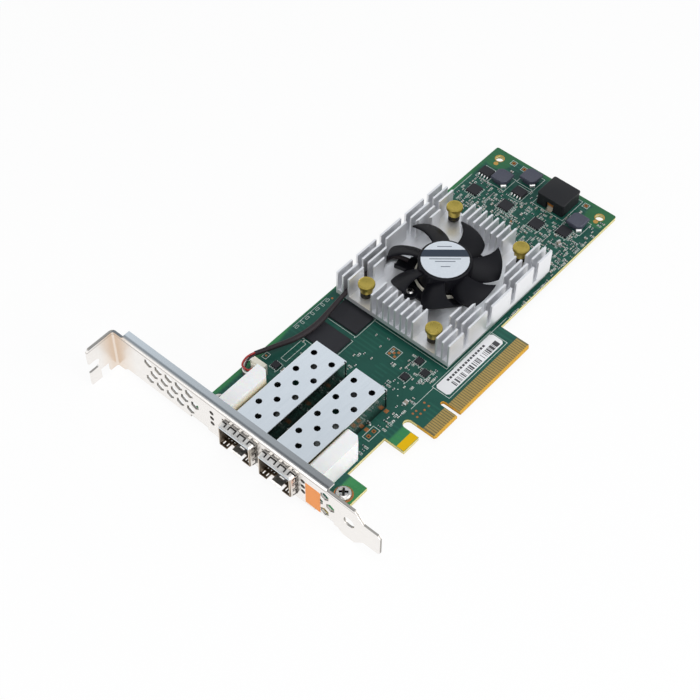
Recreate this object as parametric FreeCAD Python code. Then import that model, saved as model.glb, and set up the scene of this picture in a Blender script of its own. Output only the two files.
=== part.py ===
import FreeCAD, Part
import math
import os

# Dual-port fibre channel adapter: a plug-in board with a fan-cooled controller and two
# transceiver cages, screwed to a slot bracket. Millimetres. X runs along the card, away from
# the bracket, Y runs out of the slot and Z up from the board's component face. The origin is
# the centre of the key notch on the tip of the edge connector.

V = FreeCAD.Vector

# Circuit board outline
board_t = 1.57
board_far_x = 110.2
board_top_y = 68.9
board_low_y = 12.8
board_corner_r = 0.8
shoulder_y = 12.5
ear_len = 14.4
ear_tip_y = 4.0
rear_hole_r = 1.6
rear_hole_inset = 4.5
seat_gap = 0.3

# Flats on the round forms: many where a round shows, few on what repeats
hub_sides = 32
ring_sides = 12
pin_sides = 12
screw_sides = 12
vent_sides = 8
lamp_sides = 8
lead_sides = 6
wire_sides = 4
cord_bend_step = 25.0

# Edge connector and its ground tooth
contact_pitch = 1.0
contact_w = 0.7
contact_t = 0.05
contact_top_y = 5.4
contact_inset = 0.55
contact_outset = 1.1
short_contacts = 11
long_contacts = 38
key_w = 1.9
key_depth = 7.85
bevel_len = 0.6
bevel_depth = 0.3
tip_chamfer = 0.6
tooth_notch_w = 3.7
tooth_notch_top_y = 12.2
tooth_w = 7.7
tooth_tip_y = 4.2
tooth_pad_len = 3.3
tooth_pad_margin = 0.1

# Slot bracket, folded from one sheet
sheet_t = 0.86
bend_r = 0.8
face_x = -59.2
face_top_z = 14.3
face_w = 18.42
bracket_top_y = 105.2
tab_depth = 11.9
tab_chamfer = 1.2
tab_slot_w = 4.5
tab_slot_len = 4.9
tab_slot_z = 4.7
tab_notch_w = 4.0
tab_notch_depth = 4.4
tab_notch_inset = 3.4
tongue_w = 10.2
tongue_low_z = -0.3
tongue_tip_y = -15.3
tongue_chamfer = 1.0
taper_top_y = -4.6
taper_end_y = -8.4
lip_depth = 3.8
lip_low_y = 7.0
lip_high_y = 100.1
edge_recess_low_y = 2.2
edge_recess_high_y = 99.2
bracket_hole_r = 2.25
bracket_hole_y = -2.4
bracket_hole_z = 5.4
foot_w = 8.2
foot_len = 11.8
foot_low_y = 8.15
foot_high_y = 64.4
vent_flat = 3.4
vent_pitch_y = 4.85
vent_pitch_z = 4.3
vent_columns = 5
vent_rows = 3
vent_first_y = 87.6
vent_top_z = 10.5
side_vent_y = 7.9
side_vent_z = 9.8
port_label_y = 12.9
port_label_z = 4.2
port_label_w = 6.3
port_label_h = 10.8
label_t = 0.1

# Pan head screws that hold the board to the bracket's feet
screw_r = 1.45
screw_head_r = 2.8
screw_head_h = 1.7
screw_from_face = 8.6
screw_tail = 1.0
screw_crown_r = 1.8
screw_gap = 0.12

# Transceiver cages
cage_w = 13.8
cage_h = 9.8
cage_len = 48.2
cage_wall = 0.4
cage_pitch = 17.9
cage_mid_y = 36.25
cage_reach = 2.8
cage_floor_len = 34.0
vent_hole_r = 1.2
vent_hole_pitch = 9.1
vent_hole_dy = 4.0
vent_hole_first = 4.45
vent_hole_rows = 4
latch_slot_w = 4.6
latch_slot_len = 9.0

# Spring collar round the mouth of each cage
collar_t = 0.25
collar_inset = 0.3
collar_len = 4.4
collar_band = 0.8
collar_bulge = 0.5
collar_top_fingers = 4
collar_side_fingers = 3
finger_slit = 0.9
window_gap = 0.15

# Receptacle inside each cage
socket_w = 12.0
socket_h = 5.6
socket_len = 9.5
socket_rear_gap = 1.2
socket_slot_w = 10.4
socket_slot_h = 1.6
socket_slot_z = 3.2
socket_slot_depth = 6.0

# Light pipes and the lamps under them
pipe_len = 23.4
pipe_h = 10.6
pipe_left_w = 7.1
pipe_right_w = 5.5
pipe_left_gap = 0.6
pipe_right_gap = 1.5
pipe_chamfer = 3.4
lamp_hole_r = 1.0
lamp_top_z = 9.3
lamp_pitch = 2.9
lamp_rows = 3
lamp_left_y = 57.8
lamp_right_y = 17.2
stub_gap = 0.1
stub_recess = 0.5
lamp_l = 1.6
lamp_w = 0.8
lamp_h = 0.6
lamp_inset = 4.0
lamp_room = 0.4

# Heat sink, milled from a finned extrusion
sink_x = 40.6
sink_y = 39.9
sink_len = 58.2
sink_low_z = 2.6
sink_base_t = 2.0
fin_top_z = 13.6
fin_t = 0.75
fin_pitch = 2.65
fin_rows = 10
cross_cut_w = 2.6
inner_cut_x = 6.9
outer_cut_x = 19.8
pocket_gap = 1.2
pin_hole_gap = 0.2

# Controller package under the heat sink
package_w = 31.0
package_t = 1.1
die_w = 16.0
thermal_pad_t = 0.3

# Spring-loaded push pins
pin_inset_x = 4.4
pin_inset_y = 10.3
pin_r = 1.4
pin_head_r = 3.1
pin_head_t = 1.7
pin_head_z = 11.8
pin_head_chamfer = 0.4
pin_barb_r = 2.0
pin_barb_len = 2.2
pin_tip_r = 0.9
spring_wire = 0.5
spring_gap = 0.25
spring_turns = 3
spring_steps = 6

# Fan
fan_base_r = 14.2
fan_base_t = 1.0
tube_r = 3.0
tube_wall = 0.8
tube_h = 7.2
shaft_r = 1.0
shaft_gap = 0.1
running_gap = 0.6
fan_board_r = 7.6
fan_board_t = 0.6
stator_r = 7.6
stator_h = 3.4
stator_core_r = 4.2
stator_arm_w = 2.0
shoe_t = 1.0
stator_poles = 4
coil_t = 0.7
magnet_t = 0.7
magnet_h = 5.0
hub_r = 9.7
hub_wall = 0.7
hub_top_t = 1.0
hub_top_z = 14.5
hub_low_z = 7.1
hub_bevel = 0.5
hub_label_r = 8.7
blade_count = 7
blade_tip_r = 20.4
blade_t = 1.0
blade_steps = 5
blade_low_z = 7.9
blade_high_z = 13.6
blade_root_from = -25.0
blade_root_to = 14.0
blade_tip_from = -8.0
blade_tip_to = 23.0
blade_camber = 0.8
outlet_w = 3.2
outlet_len = 2.6
outlet_angle = 100.0

# Fan lead, its plug and its header on the board
lead_r = 0.85
lead_rise = 4.4
channel_route = [(-2.6, -0.2, 0.05), (-9.6, 0.02, 0.3)]
channel_end = (-25.6, -0.02, 1.0)
lead_route = [(37.4, -1.95, 4.0), (28.0, -2.65, 2.4), (18.5, -1.05, 2.3), (11.5, 2.0, 2.7), (4.2, 4.85, 3.1)]
cord_bend_share = 0.45
wire_r = 0.38
wire_count = 3
wire_pitch = 1.25
wire_lead_in = 2.6
wire_drop = 0.6
wire_stack = 1.1
wire_turn = 1.6
wire_bow = 0.9
wire_bow_step = 0.5
plug_w = 4.2
plug_len = 2.2
plug_h = 3.6
plug_lift = 0.9
plug_wall = 0.7
plug_gap = 0.1
plug_reach = 1.4
header_x = -32.4
header_y = 62.95
header_depth = 2.2
header_floor = 0.7

# Board components
memory_w = 9.5
memory_l = 13.2
memory_t = 1.1
memory_places = [(7.4, 55.1), (-5.2, 54.7)]
choke_w = 11.2
choke_l = 12.2
choke_h = 6.0
choke_chamfer = 0.8
choke_inset = 3.0
choke_y = 33.8
choke_lead_w = 2.6
choke_lead_t = 0.3
choke_lead_h = 3.6
choke_lead_under = 2.2
choke_lead_foot = 0.6
choke_slot_w = 3.4
choke_slot_depth = 0.9
coil_across = 6.4
coil_h = 3.2
coil_clip = 1.4
coil_flange_t = 1.3
coil_base_w = 5.2
coil_insets = [(13.6, 56.4), (6.2, 48.2), (13.3, 21.4)]
leaded_w = 3.9
leaded_l = 4.9
leaded_t = 1.5
leaded_pitch = 1.27
leads_per_side = 4
leaded_reach = 1.05
leaded_foot = 0.5
lead_t = 0.25
leaded_insets = [(14.3, 63.2), (14.6, 47.3)]
flat_pack_w = 4.6
flat_pack_t = 0.9
flat_pack_insets = [(24.4, 61.2), (23.2, 47.2), (23.1, 33.0), (19.4, 23.0)]
small_chip_w = 2.6
small_chip_t = 0.9
small_chip_places = [(-25.6, 60.4), (-0.1, 23.8), (5.6, 19.6), (8.4, 24.4)]
capacitor_l = 1.3
capacitor_w = 0.75
capacitor_h = 0.7
resistor_l = 1.0
resistor_w = 0.55
resistor_h = 0.4
passive_pitch_x = 3.1
passive_pitch_y = 2.3
passive_margin = 2.0
part_gap = 0.5
serial_label_x = 19.2
serial_label_y = 10.55
serial_label_l = 31.2
serial_label_w = 5.9
serial_label_corner = 0.9

# Places that follow from the sizes above
board_low_z = -board_t
face_back_x = face_x + sheet_t
face_low_z = face_top_z - face_w
foot_top_z = board_low_z
foot_low_z = foot_top_z - sheet_t
bend_out_r = bend_r + sheet_t
board_near_x = face_back_x + bend_r + seat_gap
ear_far_x = board_near_x + ear_len
first_contact = key_w / 2 + contact_inset
short_end_x = -(first_contact + (short_contacts - 1) * contact_pitch + contact_outset)
long_end_x = first_contact + (long_contacts - 1) * contact_pitch + contact_outset
tooth_high_x = short_end_x - tooth_notch_w
tooth_low_x = tooth_high_x - tooth_w
screw_x = face_back_x + screw_from_face
screw_places = [(screw_x, foot_low_y), (screw_x, foot_high_y)]
rear_hole_places = [
    (board_far_x - rear_hole_inset, board_low_y + rear_hole_inset),
    (board_far_x - rear_hole_inset, board_top_y - rear_hole_inset),
]
cage_front_x = face_x - cage_reach
cage_back_x = cage_front_x + cage_len
cage_ys = {"left": cage_mid_y + cage_pitch / 2, "right": cage_mid_y - cage_pitch / 2}
sink_top_z = sink_low_z + sink_base_t
sink_w = (2 * fin_rows - 1) * fin_pitch + fin_t
pocket_r = blade_tip_r + pocket_gap
pin_dx = sink_len / 2 - pin_inset_x
pin_dy = sink_w / 2 - pin_inset_y
pin_places = [(sink_x + sx * pin_dx, sink_y + sy * pin_dy) for sx in (-1, 1) for sy in (-1, 1)]
pin_hole_r = pin_r + pin_hole_gap
fan_low_z = sink_top_z
fan_base_top_z = fan_low_z + fan_base_t
outlet_x = sink_x + fan_base_r * math.cos(math.radians(outlet_angle))
outlet_y = sink_y + fan_base_r * math.sin(math.radians(outlet_angle))
channel_y = sink_y + fin_pitch * (fin_rows - 2)


def block(x0, x1, y0, y1, z0, z1):
    return Part.makeBox(x1 - x0, y1 - y0, z1 - z0, V(x0, y0, z0))


def centred_block(x, y, length, width, z0, z1):
    return block(x - length / 2, x + length / 2, y - width / 2, y + width / 2, z0, z1)


def prism(points, sweep):
    """Extrude a closed outline of straight edges."""
    corners = [V(*p) for p in points]
    return Part.Face(Part.makePolygon(corners + corners[:1])).extrude(V(*sweep))


def ring_points(r, sides):
    """Corners of a regular polygon about (0, 0)."""
    angles = [2 * math.pi * i / sides for i in range(sides)]
    return [(r * math.cos(a), r * math.sin(a)) for a in angles]


def round_rod(x, y, r, z0, z1):
    return Part.makeCylinder(r, z1 - z0, V(x, y, z0))


def rod(x, y, r, z0, z1, sides):
    return prism([(x + u, y + w, z0) for u, w in ring_points(r, sides)], (0, 0, z1 - z0))


def tube(x, y, r_out, r_in, z0, z1, sides):
    return rod(x, y, r_out, z0, z1, sides).cut(rod(x, y, r_in, z0, z1, sides))


def rod_x(y, z, r, x0, x1, sides):
    return prism([(x0, y + u, z + w) for u, w in ring_points(r, sides)], (x1 - x0, 0, 0))


def facet(corners):
    return Part.Face(Part.makePolygon(corners + corners[:1]))


def skin(rings):
    """A solid of flat facets through rings of corners, closed by the first and the last ring."""
    n = len(rings[0])
    faces = [facet(rings[0]), facet(rings[-1])]
    for low, high in zip(rings, rings[1:]):
        for i in range(n):
            j = (i + 1) % n
            faces.append(facet([low[i], low[j], high[j]]))
            faces.append(facet([low[i], high[j], high[i]]))
    return Part.makeSolid(Part.makeShell(faces))


def turned(x, y, half, sides):
    """A lathe form with flats: half lists radius and height from the lower end to the top."""
    return skin([[V(x + u, y + w, z) for u, w in ring_points(r, sides)] for r, z in half])


def joined(first, others):
    return first.fuse(others).removeSplitter()


def group(solids):
    return Part.makeCompound(solids)


def arc(start, middle, end):
    return Part.Arc(start, middle, end).toShape()


def notch_cutter(x0, x1, end_y, low_y, z0, z1):
    """A slot that opens towards -Y and ends in a half circle."""
    r = (x1 - x0) / 2
    mid = (x0 + x1) / 2
    return block(x0, x1, low_y, end_y - r, z0, z1).fuse(round_rod(mid, end_y - r, r, z0, z1))


def make_board():
    outline = [
        (board_near_x, board_top_y), (board_far_x, board_top_y), (board_far_x, board_low_y),
        (long_end_x, board_low_y), (long_end_x, tip_chamfer), (long_end_x - tip_chamfer, 0),
        (short_end_x + tip_chamfer, 0), (short_end_x, tip_chamfer), (short_end_x, tooth_tip_y),
        (tooth_low_x, tooth_tip_y), (tooth_low_x, shoulder_y), (ear_far_x, shoulder_y),
        (ear_far_x, ear_tip_y), (board_near_x, ear_tip_y),
    ]
    body = prism([(x, y, board_low_z) for x, y in outline], (0, 0, board_t))
    far_edges = [
        e for e in body.Edges
        if abs(e.tangentAt(e.FirstParameter).z) > 0.5 and abs(e.CenterOfMass.x - board_far_x) < 0.01
    ]
    body = body.makeFillet(board_corner_r, far_edges)
    cuts = [
        notch_cutter(-key_w / 2, key_w / 2, key_depth, -1, board_low_z, 0),
        notch_cutter(tooth_high_x, short_end_x, tooth_notch_top_y, -1, board_low_z, 0),
    ]
    for face_z, inner_z in ((0, -bevel_depth), (board_low_z, board_low_z + bevel_depth)):
        wedge = [(short_end_x, 0, face_z), (short_end_x, bevel_len, face_z), (short_end_x, 0, inner_z)]
        cuts.append(prism(wedge, (long_end_x - short_end_x, 0, 0)))
    for x, y in rear_hole_places:
        cuts.append(round_rod(x, y, rear_hole_r, board_low_z, 0))
    for x, y in screw_places:
        cuts.append(rod(x, y, screw_r + screw_gap, board_low_z, 0, screw_sides))
    for x, y in pin_places:
        cuts.append(rod(x, y, pin_hole_r, board_low_z, 0, pin_sides))
    return body.cut(cuts)


def make_contacts():
    """Gold contacts on the component face of the edge connector, and the ground tooth's pad."""
    xs = [-(first_contact + i * contact_pitch) for i in range(short_contacts)]
    xs += [first_contact + i * contact_pitch for i in range(long_contacts)]
    mid_y = (contact_top_y + bevel_len) / 2
    pads = [centred_block(x, mid_y, contact_w, contact_top_y - bevel_len, 0, contact_t) for x in xs]
    pads.append(block(
        tooth_low_x + tooth_pad_margin, tooth_high_x - tooth_pad_margin,
        tooth_tip_y + tooth_pad_margin, tooth_tip_y + tooth_pad_len, 0, contact_t))
    return group(pads)


def lip(y0, y1, edge_z, depth, up):
    """A strip folded back from the bracket's face, with its bend. up is 1 or -1."""
    r_in, r_out = bend_r, bend_out_r
    cx, cz = face_x + r_out, edge_z - up * r_out
    s = math.sqrt(0.5)
    inner_z = edge_z - up * sheet_t
    end_x = face_x + depth
    edges = [
        Part.makeLine(V(face_back_x, y0, cz), V(face_x, y0, cz)),
        arc(V(face_x, y0, cz), V(cx - s * r_out, y0, cz + up * s * r_out), V(cx, y0, edge_z)),
        Part.makeLine(V(cx, y0, edge_z), V(end_x, y0, edge_z)),
        Part.makeLine(V(end_x, y0, edge_z), V(end_x, y0, inner_z)),
        Part.makeLine(V(end_x, y0, inner_z), V(cx, y0, inner_z)),
        arc(V(cx, y0, inner_z), V(cx - s * r_in, y0, cz + up * s * r_in), V(face_back_x, y0, cz)),
    ]
    return Part.Face(Part.Wire(edges)).extrude(V(0, y1 - y0, 0))


def bracket_sheet():
    """The face with the tab folded forwards at its top, as one bent strip of full width."""
    y_out, y_in = bracket_top_y, bracket_top_y - sheet_t
    cx, cy = face_x - bend_r, bracket_top_y - bend_out_r
    s = math.sqrt(0.5)
    tab_end = face_x - tab_depth
    z = face_low_z
    edges = [
        Part.makeLine(V(face_x, tongue_tip_y, z), V(face_back_x, tongue_tip_y, z)),
        Part.makeLine(V(face_back_x, tongue_tip_y, z), V(face_back_x, cy, z)),
        arc(V(face_back_x, cy, z), V(cx + s * bend_out_r, cy + s * bend_out_r, z), V(cx, y_out, z)),
        Part.makeLine(V(cx, y_out, z), V(tab_end, y_out, z)),
        Part.makeLine(V(tab_end, y_out, z), V(tab_end, y_in, z)),
        Part.makeLine(V(tab_end, y_in, z), V(cx, y_in, z)),
        arc(V(cx, y_in, z), V(cx + s * bend_r, cy + s * bend_r, z), V(face_x, cy, z)),
        Part.makeLine(V(face_x, cy, z), V(face_x, tongue_tip_y, z)),
    ]
    return Part.Face(Part.Wire(edges)).extrude(V(0, 0, face_w))


def hexagon_cutter(y, z):
    r = vent_flat / math.sqrt(3)
    corners = []
    for i in range(6):
        a = math.radians(90 + 60 * i)
        corners.append((face_x, y + r * math.cos(a), z + r * math.sin(a)))
    return prism(corners, (sheet_t, 0, 0))


def vent_places():
    places = []
    for row in range(vent_rows):
        shift = vent_pitch_y / 2 if row % 2 else 0
        for i in range(vent_columns):
            places.append((vent_first_y - shift - i * vent_pitch_y, vent_top_z - row * vent_pitch_z))
    places.append((side_vent_y, side_vent_z))
    places.append((side_vent_y - vent_pitch_y / 2, side_vent_z - vent_pitch_z))
    places.append((side_vent_y + vent_pitch_y / 2, side_vent_z - vent_pitch_z))
    places.append((side_vent_y, side_vent_z - 2 * vent_pitch_z))
    return places


def lamp_places():
    rows = [lamp_top_z - i * lamp_pitch for i in range(lamp_rows)]
    return [(y, z) for y in (lamp_left_y, lamp_right_y) for z in rows]


def tongue_cutters():
    """What is sheared away beside the tongue, and along the recessed lower edge."""
    high_z = tongue_low_z + tongue_w
    end_y = tongue_tip_y
    upper = [
        (face_x, taper_top_y, face_top_z), (face_x, taper_end_y, high_z),
        (face_x, end_y + tongue_chamfer, high_z), (face_x, end_y, high_z - tongue_chamfer),
        (face_x, end_y, face_top_z),
    ]
    lower = [
        (face_x, taper_top_y, face_low_z), (face_x, taper_end_y, tongue_low_z),
        (face_x, end_y + tongue_chamfer, tongue_low_z), (face_x, end_y, tongue_low_z + tongue_chamfer),
        (face_x, end_y, face_low_z),
    ]
    rise = foot_low_z - face_low_z
    recess = [
        (face_x, edge_recess_low_y - rise, face_low_z), (face_x, edge_recess_low_y, foot_low_z),
        (face_x, edge_recess_high_y, foot_low_z), (face_x, edge_recess_high_y + rise, face_low_z),
    ]
    return [prism(p, (sheet_t, 0, 0)) for p in (upper, lower, recess)]


def tab_cutters():
    """The screw slot open at the tab's end, the notch beside the bend and a clipped corner."""
    end_x = face_x - tab_depth
    y = bracket_top_y - sheet_t
    r = tab_slot_w / 2
    slot = block(end_x, end_x + tab_slot_len - r, y, bracket_top_y, tab_slot_z - r, tab_slot_z + r)
    slot_end = Part.makeCylinder(r, sheet_t, V(end_x + tab_slot_len - r, y, tab_slot_z), V(0, 1, 0))
    notch_x = face_x - tab_notch_inset - tab_notch_w
    notch_z = face_low_z + tab_notch_depth
    notch = block(notch_x, notch_x + tab_notch_w, y, bracket_top_y, face_low_z, notch_z)
    corner = [
        (end_x, y, face_top_z), (end_x + tab_chamfer, y, face_top_z), (end_x, y, face_top_z - tab_chamfer),
    ]
    return [slot, slot_end, notch, prism(corner, (0, sheet_t, 0))]


def window_half():
    return cage_w / 2 + collar_t + collar_bulge + window_gap


def make_bracket():
    body = bracket_sheet().cut(tongue_cutters() + tab_cutters())
    cuts = [hexagon_cutter(y, z) for y, z in vent_places()]
    cuts += [rod_x(y, z, lamp_hole_r, face_x, face_back_x, lamp_sides) for y, z in lamp_places()]
    hole_centre = V(face_x, bracket_hole_y, bracket_hole_z)
    cuts.append(Part.makeCylinder(bracket_hole_r, sheet_t, hole_centre, V(1, 0, 0)))
    window_top = cage_h + collar_t + collar_bulge + window_gap
    for y in cage_ys.values():
        half = window_half()
        cuts.append(block(face_x, face_back_x, y - half, y + half, -window_gap, window_top))
    folds = [lip(lip_low_y, lip_high_y, face_top_z, lip_depth, 1)]
    cuts.append(block(face_x, face_back_x, lip_low_y, lip_high_y, face_top_z - bend_out_r, face_top_z))
    for x, y in screw_places:
        y0, y1 = y - foot_w / 2, y + foot_w / 2
        foot = lip(y0, y1, foot_low_z, foot_len + sheet_t, -1)
        folds.append(foot.cut(rod(x, y, screw_r + screw_gap, foot_low_z, foot_top_z, screw_sides)))
        cuts.append(block(face_x, face_back_x, y0, y1, foot_low_z, foot_low_z + bend_out_r))
    return joined(body.cut(cuts), folds)


def make_screws():
    screws = []
    for x, y in screw_places:
        shank = rod(x, y, screw_r, foot_low_z - screw_tail, 0, screw_sides)
        pan = [(screw_head_r, 0), (screw_head_r, screw_head_h / 2), (screw_crown_r, screw_head_h)]
        screws.append(joined(shank, [turned(x, y, pan, screw_sides)]))
    return group(screws)


def make_cage(y):
    """A folded sheet box: open mouth, perforated roof and half floor."""
    y0, y1 = y - cage_w / 2, y + cage_w / 2
    w = cage_wall
    body = block(cage_front_x, cage_back_x, y0, y1, 0, cage_h)
    floor_end = cage_front_x + cage_floor_len
    cuts = [
        block(cage_front_x, cage_back_x - w, y0 + w, y1 - w, w, cage_h - w),
        block(floor_end, cage_back_x - w, y0 + w, y1 - w, 0, w),
        centred_block(cage_front_x + latch_slot_len / 2, y, latch_slot_len, latch_slot_w, 0, w),
    ]
    for i in range(vent_hole_rows):
        x = cage_back_x - vent_hole_first - i * vent_hole_pitch
        for side in (-1, 1):
            cuts.append(rod(x, y + side * vent_hole_dy, vent_hole_r, cage_h - w, cage_h, vent_sides))
        cuts.append(rod(x - vent_hole_pitch / 2, y, vent_hole_r, cage_h - w, cage_h, vent_sides))
    return body.cut(cuts)


def collar_finger(x0, x1, origin, along, outward, width):
    """One bowed spring finger of the collar, extruded across its width."""
    span = x1 - x0
    rise = collar_bulge
    outer = [(x0, 0), (x0 + span / 2, rise), (x1, 0)]
    profile = [(x, h + collar_t) for x, h in outer] + [(x, h) for x, h in reversed(outer)]
    corners = []
    for x, h in profile:
        p = V(*origin) + V(*outward) * h
        corners.append((x, p.y, p.z))
    return prism(corners, tuple(c * width for c in along))


def make_collar(y):
    """A band round the cage's mouth with bowed fingers that meet the bracket's window."""
    x0 = cage_front_x + collar_inset
    x1 = x0 + collar_band
    x2 = x0 + collar_len
    half = cage_w / 2
    t = collar_t
    band = block(x0, x1, y - half - t, y + half + t, 0, cage_h + t)
    band = band.cut(block(x0, x1, y - half, y + half, 0, cage_h))
    fingers = []
    pitch = cage_w / collar_top_fingers
    for i in range(collar_top_fingers):
        origin = (0, y - half + i * pitch + finger_slit / 2, cage_h)
        fingers.append(collar_finger(x1, x2, origin, (0, 1, 0), (0, 0, 1), pitch - finger_slit))
    pitch = cage_h / collar_side_fingers
    for i in range(collar_side_fingers):
        for side in (-1, 1):
            origin = (0, y + side * half, i * pitch + finger_slit / 2)
            fingers.append(collar_finger(x1, x2, origin, (0, 0, 1), (0, side, 0), pitch - finger_slit))
    return joined(band, fingers)


def make_socket(y):
    """The receptacle that a transceiver's tongue plugs into."""
    x1 = cage_back_x - cage_wall - socket_rear_gap
    x0 = x1 - socket_len
    body = centred_block((x0 + x1) / 2, y, socket_len, socket_w, 0, socket_h)
    slot = block(x0, x0 + socket_slot_depth, y - socket_slot_w / 2, y + socket_slot_w / 2,
                 socket_slot_z - socket_slot_h / 2, socket_slot_z + socket_slot_h / 2)
    return body.cut(slot)


def pipe_span(side):
    if side == "left":
        y0 = cage_ys["left"] + cage_w / 2 + pipe_left_gap
        return y0, y0 + pipe_left_w
    y1 = cage_ys["right"] - cage_w / 2 - pipe_right_gap
    return y1 - pipe_right_w, y1


def make_light_pipe(side):
    """A white block behind the bracket with one round stub in each lamp hole."""
    y0, y1 = pipe_span(side)
    x0 = face_back_x + stub_gap
    x1 = x0 + pipe_len
    c = pipe_chamfer
    if side == "left":
        plan = [(x0, y0), (x1 - c, y0), (x1, y0 + c), (x1, y1), (x0, y1)]
        lamp_y = lamp_left_y
    else:
        plan = [(x0, y0), (x1 - c / 2, y0), (x1, y0 + c / 2), (x1, y1), (x0, y1)]
        lamp_y = lamp_right_y
    body = prism([(x, y, 0) for x, y in plan], (0, 0, pipe_h))
    x_lamp = x1 - lamp_inset
    room = block(x_lamp - lamp_l, x_lamp + lamp_l, y0 + lamp_room, y1 - lamp_room, 0, lamp_h + lamp_room)
    stubs = [
        rod_x(y, z, lamp_hole_r - stub_gap, face_x + stub_recess, x0, lamp_sides)
        for y, z in lamp_places() if abs(y - lamp_y) < 0.01
    ]
    return joined(body.cut(room), stubs)


def make_lamps():
    lamps = []
    for side in ("left", "right"):
        y0, y1 = pipe_span(side)
        x = face_back_x + stub_gap + pipe_len - lamp_inset
        step = (y1 - y0 - 2 * lamp_room) / lamp_rows
        for i in range(lamp_rows):
            y = y0 + lamp_room + step * (i + 0.5)
            lamps.append(centred_block(x, y, lamp_l, lamp_w, 0, lamp_h))
    return group(lamps)


def fin_blocks():
    """Spans along X between the cross cuts, each with the rows of fins that stand in it."""
    half = sink_len / 2
    outer_a, outer_b = outer_cut_x - cross_cut_w / 2, outer_cut_x + cross_cut_w / 2
    inner_a, inner_b = inner_cut_x - cross_cut_w / 2, inner_cut_x + cross_cut_w / 2
    end_rows = [0, 1, 2, 3, fin_rows - 3, fin_rows - 2, fin_rows - 1]
    side_rows = list(range(fin_rows - 4, fin_rows))
    middle_rows = list(range(fin_rows - 2, fin_rows))
    return [
        (-half, -outer_b, end_rows), (-outer_a, -inner_b, side_rows), (-inner_a, inner_a, middle_rows),
        (inner_b, outer_a, side_rows), (outer_b, half, end_rows),
    ]


def make_heat_sink():
    base = centred_block(sink_x, sink_y, sink_len, sink_w, sink_low_z, sink_top_z)
    plates = []
    for x0, x1, rows in fin_blocks():
        for row in rows:
            for side in (-1, 1):
                x, y = sink_x + (x0 + x1) / 2, sink_y + side * (row + 0.5) * fin_pitch
                plates.append(centred_block(x, y, x1 - x0, fin_t, sink_top_z, fin_top_z))
    pocket = rod(sink_x, sink_y, pocket_r, sink_top_z, fin_top_z, hub_sides)
    fins = group(plates).cut(pocket)
    body = joined(base, fins.Solids)
    holes = [rod(x, y, pin_hole_r, sink_low_z, sink_top_z, pin_sides) for x, y in pin_places]
    return body.cut(holes)


def make_controller():
    die_top = sink_low_z - thermal_pad_t
    substrate = centred_block(sink_x, sink_y, package_w, package_w, 0, package_t)
    die = centred_block(sink_x, sink_y, die_w, die_w, package_t, die_top)
    return joined(substrate, [die])


def make_thermal_pad():
    return centred_block(sink_x, sink_y, die_w, die_w, sink_low_z - thermal_pad_t, sink_low_z)


def make_push_pins():
    """Brass pins: a barb under the board, a shank through the heat sink and a flat round head."""
    pins = []
    barb_z = board_low_z - pin_hole_gap / 2
    head_low = pin_head_z - pin_head_t
    for x, y in pin_places:
        shank = rod(x, y, pin_r, barb_z, head_low, pin_sides)
        barb = turned(x, y, [(pin_tip_r, barb_z - pin_barb_len), (pin_barb_r, barb_z)], pin_sides)
        bevel_z = pin_head_z - pin_head_chamfer
        crown = [(pin_head_r, head_low), (pin_head_r, bevel_z), (pin_head_r - pin_head_chamfer, pin_head_z)]
        pins.append(joined(shank, [barb, turned(x, y, crown, pin_sides)]))
    return group(pins)


def make_springs():
    """Coils of square wire between each pin's head and the heat sink's base."""
    z0 = sink_top_z + spring_wire / 2
    z1 = pin_head_z - pin_head_t - spring_wire / 2
    mid_r = pin_r + spring_gap + spring_wire / 2
    steps = spring_turns * spring_steps
    h = spring_wire / 2
    coils = []
    for x, y in pin_places:
        rings = []
        for i in range(steps + 1):
            a = 2 * math.pi * i / spring_steps
            z = z0 + (z1 - z0) * i / steps
            square = ((mid_r - h, z - h), (mid_r + h, z - h), (mid_r + h, z + h), (mid_r - h, z + h))
            rings.append([V(x + r * math.cos(a), y + r * math.sin(a), zz) for r, zz in square])
        coils.append(skin(rings))
    return group(coils)


def turned_about_fan(shape, degrees):
    shape.rotate(V(sink_x, sink_y, 0), V(0, 0, 1), degrees)
    return shape


def make_fan_base():
    """Mounting disc with the bearing tube in its middle and the lead's outlet on its rim."""
    disc = rod(sink_x, sink_y, fan_base_r, fan_low_z, fan_base_top_z, hub_sides)
    post = rod(sink_x, sink_y, tube_r, fan_base_top_z, fan_low_z + tube_h, ring_sides)
    outlet = block(sink_x + fan_base_r - outlet_len, sink_x + fan_base_r, sink_y - outlet_w / 2,
                   sink_y + outlet_w / 2, fan_low_z, fan_low_z + 2 * lead_r)
    body = joined(disc, [post, turned_about_fan(outlet, outlet_angle)])
    bore = rod(sink_x, sink_y, tube_r - tube_wall, fan_base_top_z, fan_low_z + tube_h, ring_sides)
    return body.cut(bore)


def make_bearing():
    return tube(sink_x, sink_y, tube_r - tube_wall, shaft_r + shaft_gap,
                fan_base_top_z + running_gap, fan_low_z + tube_h, ring_sides)


def make_fan_board():
    top_z = fan_base_top_z + fan_board_t
    return tube(sink_x, sink_y, fan_board_r, tube_r, fan_base_top_z, top_z, ring_sides)


def stator_span():
    z0 = fan_base_top_z + fan_board_t + coil_t
    return z0, z0 + stator_h


def stator_arm(z0, z1, r0, r1, width, i):
    arm = block(sink_x + r0, sink_x + r1, sink_y - width / 2, sink_y + width / 2, z0, z1)
    return turned_about_fan(arm, i * 360 / stator_poles)


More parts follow.
